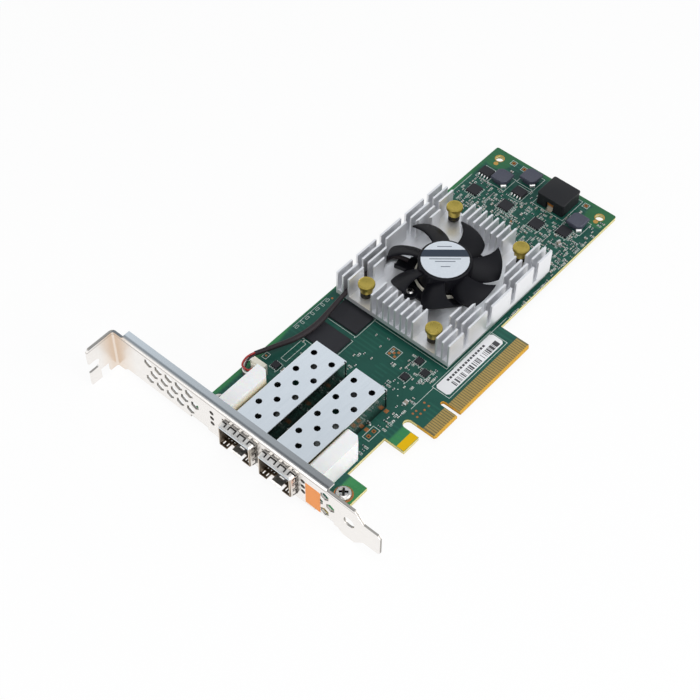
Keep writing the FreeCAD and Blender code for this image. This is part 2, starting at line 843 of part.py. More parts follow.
def make_stator():
    """Laminated core: a ring on the bearing tube, with arms that end in curved pole shoes."""
    z0, z1 = stator_span()
    shoe_in = stator_r - shoe_t
    ring = tube(sink_x, sink_y, stator_core_r, tube_r, z0, z1, ring_sides)
    shoes = tube(sink_x, sink_y, stator_r, shoe_in, z0, z1, ring_sides)
    gap_span = (tube_r, stator_r + shoe_t)
    gaps = [stator_arm(z0, z1, *gap_span, stator_arm_w, i + 0.5) for i in range(stator_poles)]
    arm_span = (stator_core_r - shoe_t / 3, shoe_in + shoe_t / 3)
    arms = [stator_arm(z0, z1, *arm_span, stator_arm_w, i) for i in range(stator_poles)]
    return joined(ring, arms + shoes.cut(gaps).Solids)


def make_windings():
    """Wire wound round each arm of the stator."""
    z0, z1 = stator_span()
    r0 = stator_core_r + shaft_gap
    inside = (stator_r - shoe_t) * math.cos(math.pi / ring_sides)
    r1 = math.sqrt(inside ** 2 - (stator_arm_w / 2 + coil_t) ** 2) - shaft_gap
    coils = []
    for i in range(stator_poles):
        outer = stator_arm(z0 - coil_t, z1 + coil_t, r0, r1, stator_arm_w + 2 * coil_t, i)
        coils.append(outer.cut(stator_arm(z0, z1, r0, r1, stator_arm_w, i)))
    return group(coils)


def make_shaft():
    return rod(sink_x, sink_y, shaft_r, fan_base_top_z + running_gap, hub_top_z - hub_top_t, ring_sides)


def make_magnet():
    r = hub_r - hub_wall
    top = hub_top_z - hub_top_t
    return tube(sink_x, sink_y, r, r - magnet_t, top - magnet_h, top, hub_sides)


def make_blade():
    """One swept, bowed blade, from its low trailing edge to its high leading edge."""
    root_r = hub_r - hub_wall / 2
    edges = ((root_r, blade_root_from, blade_root_to), (blade_tip_r, blade_tip_from, blade_tip_to))
    rings = []
    for i in range(blade_steps + 1):
        share = i / blade_steps
        z = blade_low_z + (blade_high_z - blade_t - blade_low_z) * share
        z += 4 * blade_camber * share * (1 - share)
        (x0, y0), (x1, y1) = [
            (sink_x + r * math.cos(a), sink_y + r * math.sin(a))
            for r, a in ((r, math.radians(low + (high - low) * share)) for r, low, high in edges)
        ]
        rings.append([V(x0, y0, z), V(x1, y1, z), V(x1, y1, z + blade_t), V(x0, y0, z + blade_t)])
    return skin(rings)


def make_impeller():
    """Hub cup with a bevelled rim, and the blades that stand on its wall."""
    top_r = hub_r - hub_bevel
    profile = [(hub_r, hub_low_z), (hub_r, hub_top_z - hub_bevel), (top_r, hub_top_z)]
    cup = turned(sink_x, sink_y, profile, hub_sides)
    cup = cup.cut(rod(sink_x, sink_y, hub_r - hub_wall, hub_low_z, hub_top_z - hub_top_t, hub_sides))
    blade = make_blade()
    blades = [turned_about_fan(blade.copy(), i * 360 / blade_count) for i in range(blade_count)]
    return joined(cup, blades)


def make_hub_label():
    return rod(sink_x, sink_y, hub_label_r, hub_top_z, hub_top_z + label_t, hub_sides)


def rounded_path(points):
    """Stations, each a place and a heading, along straight runs joined by tangent arcs."""
    pts = [V(*p) for p in points]
    stations = [(pts[0], (pts[1] - pts[0]).normalize())]
    radii = []
    for before, here, after in zip(pts, pts[1:], pts[2:]):
        u, w = before - here, after - here
        back = cord_bend_share * min(u.Length, w.Length)
        u.normalize()
        w.normalize()
        turn = math.pi - u.getAngle(w)
        r = back / math.tan(turn / 2)
        centre = here + (u + w).normalize() * (r / math.cos(turn / 2))
        a, b = here + u * back - centre, here + w * back - centre
        steps = math.ceil(math.degrees(turn) / cord_bend_step)
        for i in range(steps + 1):
            t = turn * i / steps
            place = (a * math.sin(turn - t) + b * math.sin(t)) * (1 / math.sin(turn))
            heading = b * math.cos(t) - a * math.cos(turn - t)
            stations.append((centre + place, heading.normalize()))
        radii.append(r)
    stations.append((pts[-1], (pts[-1] - pts[-2]).normalize()))
    return stations, radii


def cord_tube(name, points, r, sides):
    """A flat-sided tube whose rings of corners follow the path without twisting."""
    stations, radii = rounded_path(points)
    side = stations[0][1].cross(V(0, 0, 1))
    rings = []
    for place, along in stations:
        side = (side - along * side.dot(along)).normalize()
        up = along.cross(side)
        rings.append([place + side * u + up * w for u, w in ring_points(r, sides)])
    length = sum((b[0] - a[0]).Length for a, b in zip(stations, stations[1:]))
    print(name, "length", round(length, 1), "radii", [round(x, 1) for x in radii])
    return skin(rings)


def lead_points():
    """From the fan's outlet, along the channel between two fins, over the memory chips."""
    z = fan_low_z + lead_r
    a = math.radians(outlet_angle)
    x1, y1 = outlet_x + lead_rise * math.cos(a), outlet_y + lead_rise * math.sin(a)
    points = [(outlet_x, outlet_y, z), (x1, y1, z)]
    points += [(x1 + dx, channel_y + dy, z + dz) for dx, dy, dz in channel_route]
    dx, dy, dz = channel_end
    points.append((sink_x + dx, channel_y + dy, z + dz))
    return points + [(header_x + dx, header_y + dy, z) for dx, dy, z in lead_route]


def plug_front_x():
    return header_x + plug_reach - plug_len


def wire_points(i):
    """Three wires leave the sleeve's end, cross one above the other and turn back into the plug."""
    a = math.radians(90 - 120 * i)
    ring = lead_r - wire_r
    end, before = V(*lead_points()[-1]), V(*lead_points()[-2])
    along = (end - before).normalize()
    side = along.cross(V(0, 0, 1)).normalize()
    up = side.cross(along)
    first = end + side * (ring * math.cos(a)) + up * (ring * math.sin(a))
    second = first + along * wire_lead_in
    x, y, z = plug_front_x(), header_y + (1 - i) * wire_pitch, plug_lift + plug_h / 2
    high_y, level = end.y - wire_drop * i, z + wire_stack * (1 - i)
    turn_x = x - wire_turn - wire_drop / 2 * i
    third = V(turn_x, high_y, level)
    fourth = V(turn_x - wire_bow - wire_bow_step * i, (high_y + y) / 2, level)
    return [tuple(p) for p in (first, second, third, fourth)] + [(turn_x, y, z), (x, y, z)]


def make_wires():
    cords = []
    for i in range(wire_count):
        cords.append(cord_tube("wire " + str(i + 1), wire_points(i), wire_r, wire_sides))
    return group(cords)


def make_header():
    """A shrouded socket on the board that opens towards the bracket."""
    w = plug_wall
    half = plug_w / 2 + plug_gap + w
    top = plug_lift + plug_h + plug_gap + w
    body = block(header_x, header_x + header_depth, header_y - half, header_y + half, 0, top)
    hollow = block(header_x, header_x + header_depth - header_floor, header_y - half + w,
                   header_y + half - w, plug_lift - plug_gap, top - w)
    return body.cut(hollow)


def make_plug():
    x0 = plug_front_x()
    body = block(x0, header_x + plug_reach, header_y - plug_w / 2, header_y + plug_w / 2,
                 plug_lift, plug_lift + plug_h)
    rib = block(x0, header_x - plug_gap, header_y - plug_w / 6, header_y + plug_w / 6,
                plug_lift + plug_h, plug_lift + plug_h + plug_wall)
    return joined(body, [rib])


def make_memory(place):
    x, y = place
    return centred_block(x, y, memory_w, memory_l, 0, memory_t)


def choke_x():
    return board_far_x - choke_inset - choke_w / 2


def make_choke():
    """Moulded power choke with bevelled upright corners and a slot for the strap in each end face."""
    x = choke_x()
    body = centred_block(x, choke_y, choke_w, choke_l, choke_lead_t, choke_h)
    edges = [e for e in body.Edges if abs(e.tangentAt(e.FirstParameter).z) > 0.5]
    body = body.makeChamfer(choke_chamfer, edges)
    for side in (-1, 1):
        end = x + side * choke_w / 2
        body = body.cut(centred_block(end, choke_y, 2 * choke_slot_depth, choke_slot_w, 0, choke_lead_h))
    return body


def make_choke_leads():
    """Copper straps that come down in the choke's slots, with a foot inwards and one outwards."""
    leads = []
    y = choke_y - choke_lead_w / 2
    for side in (-1, 1):
        end = choke_x() + side * choke_w / 2
        under, foot = end - side * choke_lead_under, end + side * choke_lead_foot
        inner = end - side * choke_slot_depth
        outer = inner + side * choke_lead_t
        profile = [
            (under, y, 0), (foot, y, 0), (foot, y, choke_lead_t), (outer, y, choke_lead_t),
            (outer, y, choke_lead_h), (inner, y, choke_lead_h), (inner, y, choke_lead_t),
            (under, y, choke_lead_t),
        ]
        leads.append(prism(profile, (0, choke_lead_w, 0)))
    return group(leads)


def far_end_places(insets):
    return [(board_far_x - inset, y) for inset, y in insets]


def make_coils():
    """Drum inductors: a square flange with two clipped corners on a narrower base."""
    half = coil_across / 2
    near = half - coil_clip
    outline = [(-near, -half), (half, -half), (half, near), (near, half), (-half, half), (-half, -near)]
    low_z = coil_h - coil_flange_t
    coils = []
    for x, y in far_end_places(coil_insets):
        flange = prism([(x + dx, y + dy, low_z) for dx, dy in outline], (0, 0, coil_flange_t))
        coils.append(joined(centred_block(x, y, coil_base_w, coil_base_w, 0, low_z), [flange]))
    return group(coils)


def make_leaded_bodies():
    places = far_end_places(leaded_insets)
    return group([centred_block(x, y, leaded_w, leaded_l, lead_t, leaded_t) for x, y in places])


def make_leads():
    """Gull-wing leads along the two long sides of each leaded package."""
    leads = []
    for x, y in far_end_places(leaded_insets):
        for side in (-1, 1):
            for i in range(leads_per_side):
                y0 = y + (i - (leads_per_side - 1) / 2) * leaded_pitch - leaded_pitch / 6
                wall = x + side * leaded_w / 2
                toe = wall + side * leaded_reach
                heel = toe - side * leaded_foot
                top = leaded_t / 2 + lead_t / 2
                profile = [
                    (wall, y0, top), (wall, y0, top - lead_t), (heel - side * lead_t, y0, 0),
                    (toe, y0, 0), (toe, y0, lead_t), (heel, y0, lead_t),
                ]
                leads.append(prism(profile, (0, leaded_pitch / 3, 0)))
    return group(leads)


def make_flat_packs():
    places = far_end_places(flat_pack_insets)
    return group([centred_block(x, y, flat_pack_w, flat_pack_w, 0, flat_pack_t) for x, y in places])


def make_small_chips():
    w, t = small_chip_w, small_chip_t
    return group([centred_block(x, y, w, w, 0, t) for x, y in small_chip_places])


def taken_spots():
    """Rectangles on the board's far end that the larger components and the rear holes take up."""
    spots = [(choke_x(), choke_y, choke_w + 2 * choke_lead_foot, choke_l)]
    spots += [(x, y, coil_across, coil_across) for x, y in far_end_places(coil_insets)]
    spots += [(x, y, leaded_w + 2 * leaded_reach, leaded_l) for x, y in far_end_places(leaded_insets)]
    spots += [(x, y, flat_pack_w, flat_pack_w) for x, y in far_end_places(flat_pack_insets)]
    spots += [(x, y, 4 * rear_hole_r, 4 * rear_hole_r) for x, y in rear_hole_places]
    return spots


def passive_places():
    """A staggered field of chip capacitors and resistors between the heat sink and the far end."""
    x0 = sink_x + sink_len / 2 + passive_margin
    x1 = board_far_x - passive_margin
    y0 = board_low_y + passive_margin
    y1 = board_top_y - passive_margin
    places = []
    for i in range(int((x1 - x0) / passive_pitch_x) + 1):
        for j in range(int((y1 - y0) / passive_pitch_y) + 1):
            x, y = x0 + i * passive_pitch_x, y0 + j * passive_pitch_y
            room = capacitor_l / 2 + part_gap
            clear = all(
                abs(x - sx) > sl / 2 + room or abs(y - sy) > sw / 2 + room
                for sx, sy, sl, sw in taken_spots()
            )
            if clear and (3 * i + 5 * j) % 7 < 2:
                places.append((x, y, (i + 2 * j) % 3))
    return places


def make_capacitors():
    chips = []
    for x, y, kind in passive_places():
        if kind == 0:
            chips.append(centred_block(x, y, capacitor_l, capacitor_w, 0, capacitor_h))
        elif kind == 1:
            chips.append(centred_block(x, y, capacitor_w, capacitor_l, 0, capacitor_h))
    return group(chips)


def make_resistors():
    places = [(x, y) for x, y, kind in passive_places() if kind == 2]
    return group([centred_block(x, y, resistor_l, resistor_w, 0, resistor_h) for x, y in places])


def make_serial_label():
    body = centred_block(serial_label_x, serial_label_y, serial_label_l, serial_label_w, 0, label_t)
    edges = [e for e in body.Edges if abs(e.tangentAt(e.FirstParameter).z) > 0.5]
    return body.makeChamfer(serial_label_corner, edges)


def make_port_label():
    y0, z0 = port_label_y - port_label_w / 2, port_label_z - port_label_h / 2
    return block(face_x - label_t, face_x, y0, y0 + port_label_w, z0, z0 + port_label_h)


def build():
    parts = {
        "circuit_board": make_board(),
        "edge_contacts": make_contacts(),
        "slot_bracket": make_bracket(),
        "bracket_screws": make_screws(),
        "status_lamps": make_lamps(),
        "heat_sink": make_heat_sink(),
        "controller_chip": make_controller(),
        "thermal_pad": make_thermal_pad(),
        "push_pins": make_push_pins(),
        "pin_springs": make_springs(),
        "fan_base": make_fan_base(),
        "fan_bearing": make_bearing(),
        "fan_board": make_fan_board(),
        "fan_stator": make_stator(),
        "fan_windings": make_windings(),
        "fan_shaft": make_shaft(),
        "fan_magnet": make_magnet(),
        "fan_impeller": make_impeller(),
        "hub_label": make_hub_label(),
        "fan_lead": cord_tube("fan lead", lead_points(), lead_r, lead_sides),
        "fan_wires": make_wires(),
        "fan_plug": make_plug(),
        "fan_header": make_header(),
        "power_choke": make_choke(),
        "choke_leads": make_choke_leads(),
        "drum_inductors": make_coils(),
        "leaded_chips": make_leaded_bodies(),
        "chip_leads": make_leads(),
        "flat_chips": make_flat_packs(),
        "small_chips": make_small_chips(),
        "chip_capacitors": make_capacitors(),
        "chip_resistors": make_resistors(),
        "serial_label": make_serial_label(),
        "port_label": make_port_label(),
    }
    for i, place in enumerate(memory_places):
        parts["memory_chip_" + str(i + 1)] = make_memory(place)
    for side, y in cage_ys.items():
        parts["port_cage_" + side] = make_cage(y)
        parts["port_collar_" + side] = make_collar(y)
        parts["port_socket_" + side] = make_socket(y)
        parts["light_pipe_" + side] = make_light_pipe(side)
    return parts


os.makedirs("parts", exist_ok=True)
for node, shape in build().items():
    shape.exportStep(os.path.join("parts", node + ".step"))
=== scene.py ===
# %% [markdown]
# This lesson dresses a plug-in adapter board for fibre optic links. The construction model gives
# every solid at its real size. Blender adds the finishes, the small parts on the board and the
# light. Everything stays in one frame: X runs along the card away from the slot bracket, Y runs
# out of the slot, Z rises from the component face, and the origin is the key notch of the edge
# connector. The frame comes first, and its box is kept for the floor's height.

# %% Load the frame
import math
import random
import bpy
from mathutils import Matrix, Vector


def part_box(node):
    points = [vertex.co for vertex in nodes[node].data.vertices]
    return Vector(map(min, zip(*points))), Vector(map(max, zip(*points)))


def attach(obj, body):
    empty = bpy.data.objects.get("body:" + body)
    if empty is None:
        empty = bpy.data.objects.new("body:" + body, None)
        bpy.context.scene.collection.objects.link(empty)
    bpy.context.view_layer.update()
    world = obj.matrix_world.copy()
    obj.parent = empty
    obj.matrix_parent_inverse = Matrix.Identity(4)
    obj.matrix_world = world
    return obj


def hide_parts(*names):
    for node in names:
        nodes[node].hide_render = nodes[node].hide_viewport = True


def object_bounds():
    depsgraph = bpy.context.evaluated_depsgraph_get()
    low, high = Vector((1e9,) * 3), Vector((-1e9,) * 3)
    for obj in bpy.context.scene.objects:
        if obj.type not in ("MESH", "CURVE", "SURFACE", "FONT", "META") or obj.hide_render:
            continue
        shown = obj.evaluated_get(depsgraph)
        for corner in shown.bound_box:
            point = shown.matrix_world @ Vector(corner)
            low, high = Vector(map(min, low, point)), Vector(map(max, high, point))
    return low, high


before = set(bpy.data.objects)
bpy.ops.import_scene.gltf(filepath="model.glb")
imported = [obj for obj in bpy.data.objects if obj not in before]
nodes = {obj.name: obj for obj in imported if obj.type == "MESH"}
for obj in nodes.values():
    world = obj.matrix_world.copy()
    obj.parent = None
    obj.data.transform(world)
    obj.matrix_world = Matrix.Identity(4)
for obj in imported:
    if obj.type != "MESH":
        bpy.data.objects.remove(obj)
cad_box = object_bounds()
print("frame:", len(nodes), "nodes, box", [round(v, 4) for corner in cad_box for v in corner])

# %% [markdown]
# Blender works in metres and the card is drawn in millimetres. One short function turns
# millimetres into metres, as a number or as a point, so that the sizes below stay readable.

# %% Millimetres
def mm(*sizes):
    """One size in millimetres as metres, or two or three of them as a tuple."""
    scaled = tuple(size * 0.001 for size in sizes)
    return scaled if len(scaled) > 1 else scaled[0]


print("a contact pitch of 1 mm is", mm(1.0), "m")

# %% [markdown]
# The camera stands where the photograph was taken: above the bracket's outer face, to the left of
# the edge connector, with a long lens. It could be aimed by eye. Here its place and its three
# directions come from a fit of known corners of the card, so the render falls on the photograph.

# %% Camera
eye = mm(-252.754, -169.756, 417.786)
to_right = Vector((0.65843122, -0.75262763, 0.0044692))
to_bottom = Vector((-0.58913039, -0.51907403, -0.6192637))
to_front = Vector((0.46839482, 0.40510961, -0.78517036))

bpy.ops.object.select_all(action="DESELECT")
bpy.ops.object.camera_add()
camera = bpy.context.object
camera.name = "photo_camera"
aim = Matrix((to_right, -to_bottom, -to_front)).transposed().to_4x4()
camera.matrix_world = Matrix.Translation(eye) @ aim
camera.data.sensor_width = 36.0
camera.data.lens = 78.61
camera.data.clip_start = 0.01
bpy.context.scene.camera = camera
print("camera", round(camera.location.length, 3), "m from the key notch, lens", camera.data.lens, "mm")

# %% [markdown]
# Colours are written as the hex values that a picture shows. Blender's shaders work in linear
# light, so one function undoes the screen's curve. A second one sets or links a socket of a shader
# node. A third adds a node with its settings and links, for every kind of node in this file: values
# go to the inputs that the node shows, in their order, and a named value goes to that input, or to
# that setting where the name is in small letters.

# %% Colour and node helpers
def tint(code):
    """A hex colour of the screen as linear red, green, blue and full opacity."""
    parts = [int(code[i:i + 2], 16) / 255 for i in (1, 3, 5)]
    return tuple(p / 12.92 if p <= 0.04045 else ((p + 0.055) / 1.055) ** 2.4 for p in parts) + (1.0,)


def feed(tree, socket, value):
    """Sets a socket to a number, a vector or a hex colour, or links it to a node or another socket."""
    if isinstance(value, bpy.types.Node):
        value = next(output for output in value.outputs if output.enabled)
    if isinstance(value, bpy.types.NodeSocket):
        tree.links.new(value, socket)
    else:
        socket.default_value = tint(value) if isinstance(value, str) else value


def add(tree, kind, *values, **named):
    """Adds a shader node with its settings, values and links."""
    made = tree.nodes.new("ShaderNode" + kind)
    for setting in [name for name in named if name.islower()]:
        setattr(made, setting, named.pop(setting))
    shown = [socket for socket in made.inputs if socket.enabled]
    for socket, value in zip(shown, values):
        feed(tree, socket, value)
    for name, value in named.items():
        feed(tree, made.inputs[name], value)
    return made


print("mid grey in linear light:", round(tint("#808080")[0], 3))

# %% [markdown]
# The photograph has a white studio round the card. The world is plain white for rays that come
# straight from the camera or from a mirror, and a softer grey for the light that it sheds. More
# light on the card would also give a white ground, but then its colours would wash out. Overhead
# the room is less bright than at eye level, and flat roofs and bends of sheet metal show that, so
# the white falls off to a cool grey towards the zenith.

# %% White surroundings
def seen_directly(tree):
    """A mask that is 1 for rays from the camera, a mirror or a clear piece, and 0 for shed light."""
    path = add(tree, "LightPath").outputs
    seen = path["Is Camera Ray"]
    for kind in ("Is Glossy Ray", "Is Transmission Ray"):
        seen = add(tree, "Math", seen, path[kind], operation="MAXIMUM")
    return seen


ambient = 0.44
world = bpy.data.worlds.new("white_studio")
bpy.context.scene.world = world
world.use_nodes = True
sky = world.node_tree
sky.nodes.clear()
level = add(sky, "MapRange", seen_directly(sky), 0.0, 1.0, ambient, 1.0)
towards = add(sky, "SeparateXYZ", add(sky, "TexCoord").outputs["Generated"])
room = add(sky, "ValToRGB", towards.outputs["Z"])
stops = room.color_ramp.elements
for height, code in ((0.35, "#ffffff"), (0.785, "#ebf1f6"), (0.93, "#888d93")):
    stops.new(height).color = tint(code)
for _ in range(2):
    stops.remove([stop for stop in stops if stop.position in (0.0, 1.0)][0])
add(sky, "OutputWorld", add(sky, "Background", room, level))
bpy.context.scene.view_settings.view_transform = "Standard"
print("world sheds", ambient, "and shows as 1")

# %% [markdown]
# The floor is a wide white sheet under the bracket's lower edge. Most of its white is shown to the
# camera directly, and the rest is painted white that takes light, so the card still casts a soft
# shadow. A sheet that only glowed would leave the card floating.

# %% Floor
floor_width = 6.0
shown_white, glow_strength = 0.9, 1.01

bpy.ops.object.select_all(action="DESELECT")
bpy.ops.mesh.primitive_plane_add(size=floor_width, location=(0.0, 0.0, cad_box[0].z))
floor = bpy.context.object
floor.name = "studio_floor"
paper = bpy.data.materials.new("matt_white_sheet")
paper.use_nodes = True
sheet = paper.node_tree
sheet.nodes.clear()
share = add(sheet, "Math", seen_directly(sheet), shown_white, operation="MULTIPLY")
painted = add(sheet, "BsdfDiffuse", "#f2f2f2")
glow = add(sheet, "Emission", "#ffffff", glow_strength)
add(sheet, "OutputMaterial", add(sheet, "MixShader", share, painted, glow))
floor.data.materials.append(paper)
print("floor at", round(floor.location.z * 1000, 2), "mm")

# %% [markdown]
# Three soft boxes light the card. A wide one hangs above it, one stands on the side of the edge
# connector and brightens the outer fins, and one faces the bracket. Their power is set so that a
# colour renders about as it is written.

# %% Soft boxes
card_middle = Vector(mm(20.0, 40.0, 0.0))

for name, place, width, power in (("soft_box_above", (-0.15, -0.20, 1.00), 0.8, 4.4),
                                  ("soft_box_connector_side", (0.25, -0.85, 0.35), 0.6, 4.4),
                                  ("soft_box_bracket_side", (-0.90, 0.05, 0.35), 0.6, 3.0)):
    bpy.ops.object.select_all(action="DESELECT")
    bpy.ops.object.light_add(type="AREA", location=place)
    lamp = bpy.context.object
    lamp.name = name
    lamp.rotation_euler = (card_middle - Vector(place)).to_track_quat("-Z", "Y").to_euler()
    lamp.data.size = width
    lamp.data.energy = power
    print(name, "at", place, "with", power, "W")

# %% [markdown]
# Most finishes on the card belong to a few families. A moulded plastic has one colour with a fine
# grain from its mould. A sheet or turned metal has a grain drawn out along the way it was worked.
# Each family is one recipe: noise of a real size in millimetres moves the colour a little, moves
# the roughness, and raises a slight bump. One function turns pattern sizes into Blender's scale.
# What is the same all over a finish is set on the shader itself, and only patterns are linked.

# %% Finish recipes
grain_depth = 0.02


def per_mm(size):
    """The texture scale at which a pattern repeats about every so many millimetres."""
    return 1000.0 / size


def coat(finish, **sockets):
    """Sets sockets of the finish's shader, or links them to patterns, and gives the finish back."""
    shader = finish.node_tree.nodes["Principled BSDF"]
    for name, value in sockets.items():
        feed(finish.node_tree, shader.inputs[name.replace("_", " ")], value)
    return finish


def new_finish(name, **constants):
    """A finish with its constants set, its node tree, and the place on the piece for its patterns."""
    made = bpy.data.materials.new(name)
    made.use_nodes = True
    place = add(made.node_tree, "TexCoord").outputs["Object"]
    return coat(made, **constants), made.node_tree, place


def grained(name, low, high, rough, grain, stretch=(1, 1, 1), bump=0.15, **constants):
    """Two close colours, a roughness range and a bump that follow one noise of a grain in millimetres."""
    finish, tree, place = new_finish(name, **constants)
    drawn = add(tree, "Mapping", place, Scale=stretch)
    noise = add(tree, "TexNoise", drawn, per_mm(grain), 4.0)
    colour = add(tree, "Mix", noise, low, high, data_type="RGBA")
    gloss = add(tree, "MapRange", noise, 0.3, 0.7, *rough)
    relief = add(tree, "Bump", Height=noise, Strength=bump, Distance=mm(grain_depth))
    return coat(finish, Base_Color=colour, Roughness=gloss, Normal=relief)


def dress(finish, *names):
    """Gives CAD nodes their finish."""
    for name in names:
        for slot in nodes[name].material_slots:
            slot.material = finish
    print(finish.name, "on", ", ".join(names))


print("a grain of 0.5 mm has the texture scale", per_mm(0.5))

# %% [markdown]
# The board is glass cloth in resin under a green solder mask. Where copper planes lie beneath, the
# mask looks deep and bluish. Near the outline and round the rear holes the planes stop, and the pale
# laminate shines through as a lighter green, painted darker towards the rear end as painted shade.
# Between the cages the mask is painted nearly black as painted shade. A painted picture could hold
# this, but masks that read the place stay sharp at any size.

# %% Solder mask
sink_middle_x = 28.0
rear_holes = [(105.7, 17.3), (105.7, 64.4)]


def within(tree, axis, share, **ranges):
    """A mask that has its share where the axes lie in these ranges of millimetres, and 0 elsewhere."""
    for side, (low, high) in ranges.items():
        middle, half = mm((low + high) / 2), mm((high - low) / 2)
        inside = add(tree, "Math", axis[side], middle, half, operation="COMPARE")
        share = add(tree, "Math", share, inside, operation="MULTIPLY")
    return share


def mask_green(tree, place, axis):
    """Deep green over copper planes, pale green where they stop, and nearly black painted shade between the
    cages.
    """
    # planes end 2 mm from the outline and nearer to it beside the heat sink
    along = add(tree, "Math", axis["X"], mm(sink_middle_x), operation="SUBTRACT")
    along = add(tree, "Math", along, operation="ABSOLUTE")
    inset = add(tree, "MapRange", along, mm(36.0), mm(44.0), mm(1.3), 0.0)
    back = add(tree, "Math", axis["Y"], inset, operation="SUBTRACT")
    thin = 0.0
    for side, start, end in ((axis["Y"], 11.6, 10.4), (back, 66.4, 68.2), (axis["X"], 107.4, 109.4)):
        strip = add(tree, "MapRange", side, mm(start), mm(end), interpolation_type="SMOOTHSTEP")
        thin = add(tree, "Math", thin, strip, operation="MAXIMUM")
    # along the blade they run on to its contacts
    past_tooth = add(tree, "Math", axis["X"], mm(-12.8), operation="LESS_THAN")
    past_blade = add(tree, "Math", axis["Y"], mm(12.8), operation="GREATER_THAN")
    allowed = add(tree, "Math", past_tooth, past_blade, operation="MAXIMUM")
    thin = add(tree, "Math", thin, allowed, operation="MULTIPLY")
    for hole in rear_holes:
        away = add(tree, "VectorMath", place, mm(*hole, 0.0), operation="DISTANCE")
        near = add(tree, "MapRange", away, mm(6.2), mm(5.2))
        thin = add(tree, "Math", thin, near, operation="MAXIMUM")
    cloud = add(tree, "TexNoise", place, per_mm(14.0), 2.0)
    deep = add(tree, "Mix", cloud, "#16443c", "#215a4d", data_type="RGBA")
    # painted shade: the pale green turns darker towards the rear end of the board
    far_end_shade = add(tree, "MapRange", axis["X"], mm(60.0), mm(104.0))
    pale = add(tree, "Mix", far_end_shade, "#3a8350", "#2f6844", data_type="RGBA")
    green = add(tree, "Mix", thin, deep, pale, data_type="RGBA")
    # painted shade: the mask between the cages is mixed towards nearly black
    between_cages_shade = within(tree, axis, 0.7, X=(-56.0, -14.0), Y=(34.2, 38.3), Z=(-0.5, 0.5))
    return add(tree, "Mix", between_cages_shade, green, "#0b1d19", data_type="RGBA")


print("the mask is pale round", len(rear_holes), "rear holes")

# %% [markdown]
# Copper traces stand out faintly under the mask. Real ones are routed one by one. Here the board is
# divided into blocks of some 8 mm, and in each block lines 0.3 mm wide run along, across or at a
# slant, or there are none. The cut edges of the board show the bare laminate: straw yellow, with
# layers of glass cloth 0.2 mm apart, and amber on the tip of the blade, which has no mask between
# its contacts. The face's direction tells the faces and the cut edges apart.

# %% Board finish
# a range that ends beyond the board is open on that side
blade_x, blade_tip_y, bare_blade_y = (-12.7, 120.0), (-20.0, 7.9), (-20.0, 5.5)


def traces(tree, place):
    """Lines that turn by eighths of a circle from block to block."""
    blocks = add(tree, "TexVoronoi", place, per_mm(8.0), distance="CHEBYCHEV")
    chance = add(tree, "SeparateColor", blocks.outputs["Color"]).outputs
    eighths = add(tree, "Math", chance["Red"], math.pi / 4, operation="SNAP")
    angle = add(tree, "Math", eighths, 4.0, operation="MULTIPLY")
    run = add(tree, "VectorRotate", place, Angle=angle, rotation_type="Z_AXIS")
    lines = add(tree, "TexWave", run, per_mm(6.0), 0.0)
    trace = add(tree, "MapRange", lines.outputs["Fac"], 0.62, 0.78)
    routed = add(tree, "Math", chance["Green"], 0.45, operation="GREATER_THAN")
    return add(tree, "Math", trace, routed, operation="MULTIPLY")


def board_finish():
    """Solder mask on the two faces and bare laminate on the cut edges."""
    finish, tree, place = new_finish("fr4_laminate_under_green_solder_mask", IOR=1.45, Specular_IOR_Level=0.3)
    axis = add(tree, "SeparateXYZ", place).outputs
    shown = traces(tree, place)
    faint = add(tree, "Math", shown, 0.22, operation="MULTIPLY")
    face = add(tree, "Mix", faint, mask_green(tree, place, axis), "#2f7460", data_type="RGBA")
    blade = within(tree, axis, 1.0, X=blade_x, Y=bare_blade_y)
    face = add(tree, "Mix", blade, face, "#6f6749", data_type="RGBA")
    layers = add(tree, "TexWave", place, per_mm(4.0), 1.5, bands_direction="Z")
    cut = add(tree, "Mix", layers.outputs["Fac"], "#cdbb6e", "#e6dfae", data_type="RGBA")
    tip = within(tree, axis, 1.0, X=blade_x, Y=blade_tip_y)
    cut = add(tree, "Mix", tip, cut, "#d3a23c", data_type="RGBA")
    facing = add(tree, "SeparateXYZ", add(tree, "NewGeometry").outputs["Normal"])
    flat = add(tree, "Math", facing.outputs["Z"], operation="ABSOLUTE")
    is_face = add(tree, "Math", flat, 0.97, operation="GREATER_THAN")
    colour = add(tree, "Mix", is_face, cut, face, data_type="RGBA")
    gloss = add(tree, "MapRange", is_face, 0.0, 1.0, 0.7, 0.38)
    relief = add(tree, "Bump", Height=shown, Strength=0.25, Distance=mm(0.04))
    return coat(finish, Base_Color=colour, Roughness=gloss, Normal=relief)


dress(board_finish(), "circuit_board")

# %% [markdown]
# The contacts are copper with nickel and hard gold on top. On the blade the gold is wiped by use
# and looks tan. The pad of the ground tooth has fresh gold and is a full yellow. One metal finish
# reads the place along the card to tell the two apart.

# %% Gold contacts
def gold_finish():
    """Hard gold on nickel: tan on the blade, full yellow on the tooth."""
    finish, tree, place = new_finish("hard_gold_over_nickel", Metallic=1.0)
    axis = add(tree, "SeparateXYZ", place).outputs
    on_tooth = add(tree, "Math", axis["X"], mm(-14.0), operation="LESS_THAN")
    wipe = add(tree, "Mapping", place, Scale=(4.0, 0.4, 1.0))
    marks = add(tree, "TexNoise", wipe, per_mm(0.8), 3.0)
    worn = add(tree, "Mix", marks, "#ab9056", "#cbae70", data_type="RGBA")
    colour = add(tree, "Mix", on_tooth, worn, "#ffca20", data_type="RGBA")
    gloss = add(tree, "MapRange", marks, 0.0, 1.0, 0.22, 0.42)
    return coat(finish, Base_Color=colour, Roughness=gloss)


gold = gold_finish()
dress(gold, "edge_contacts")
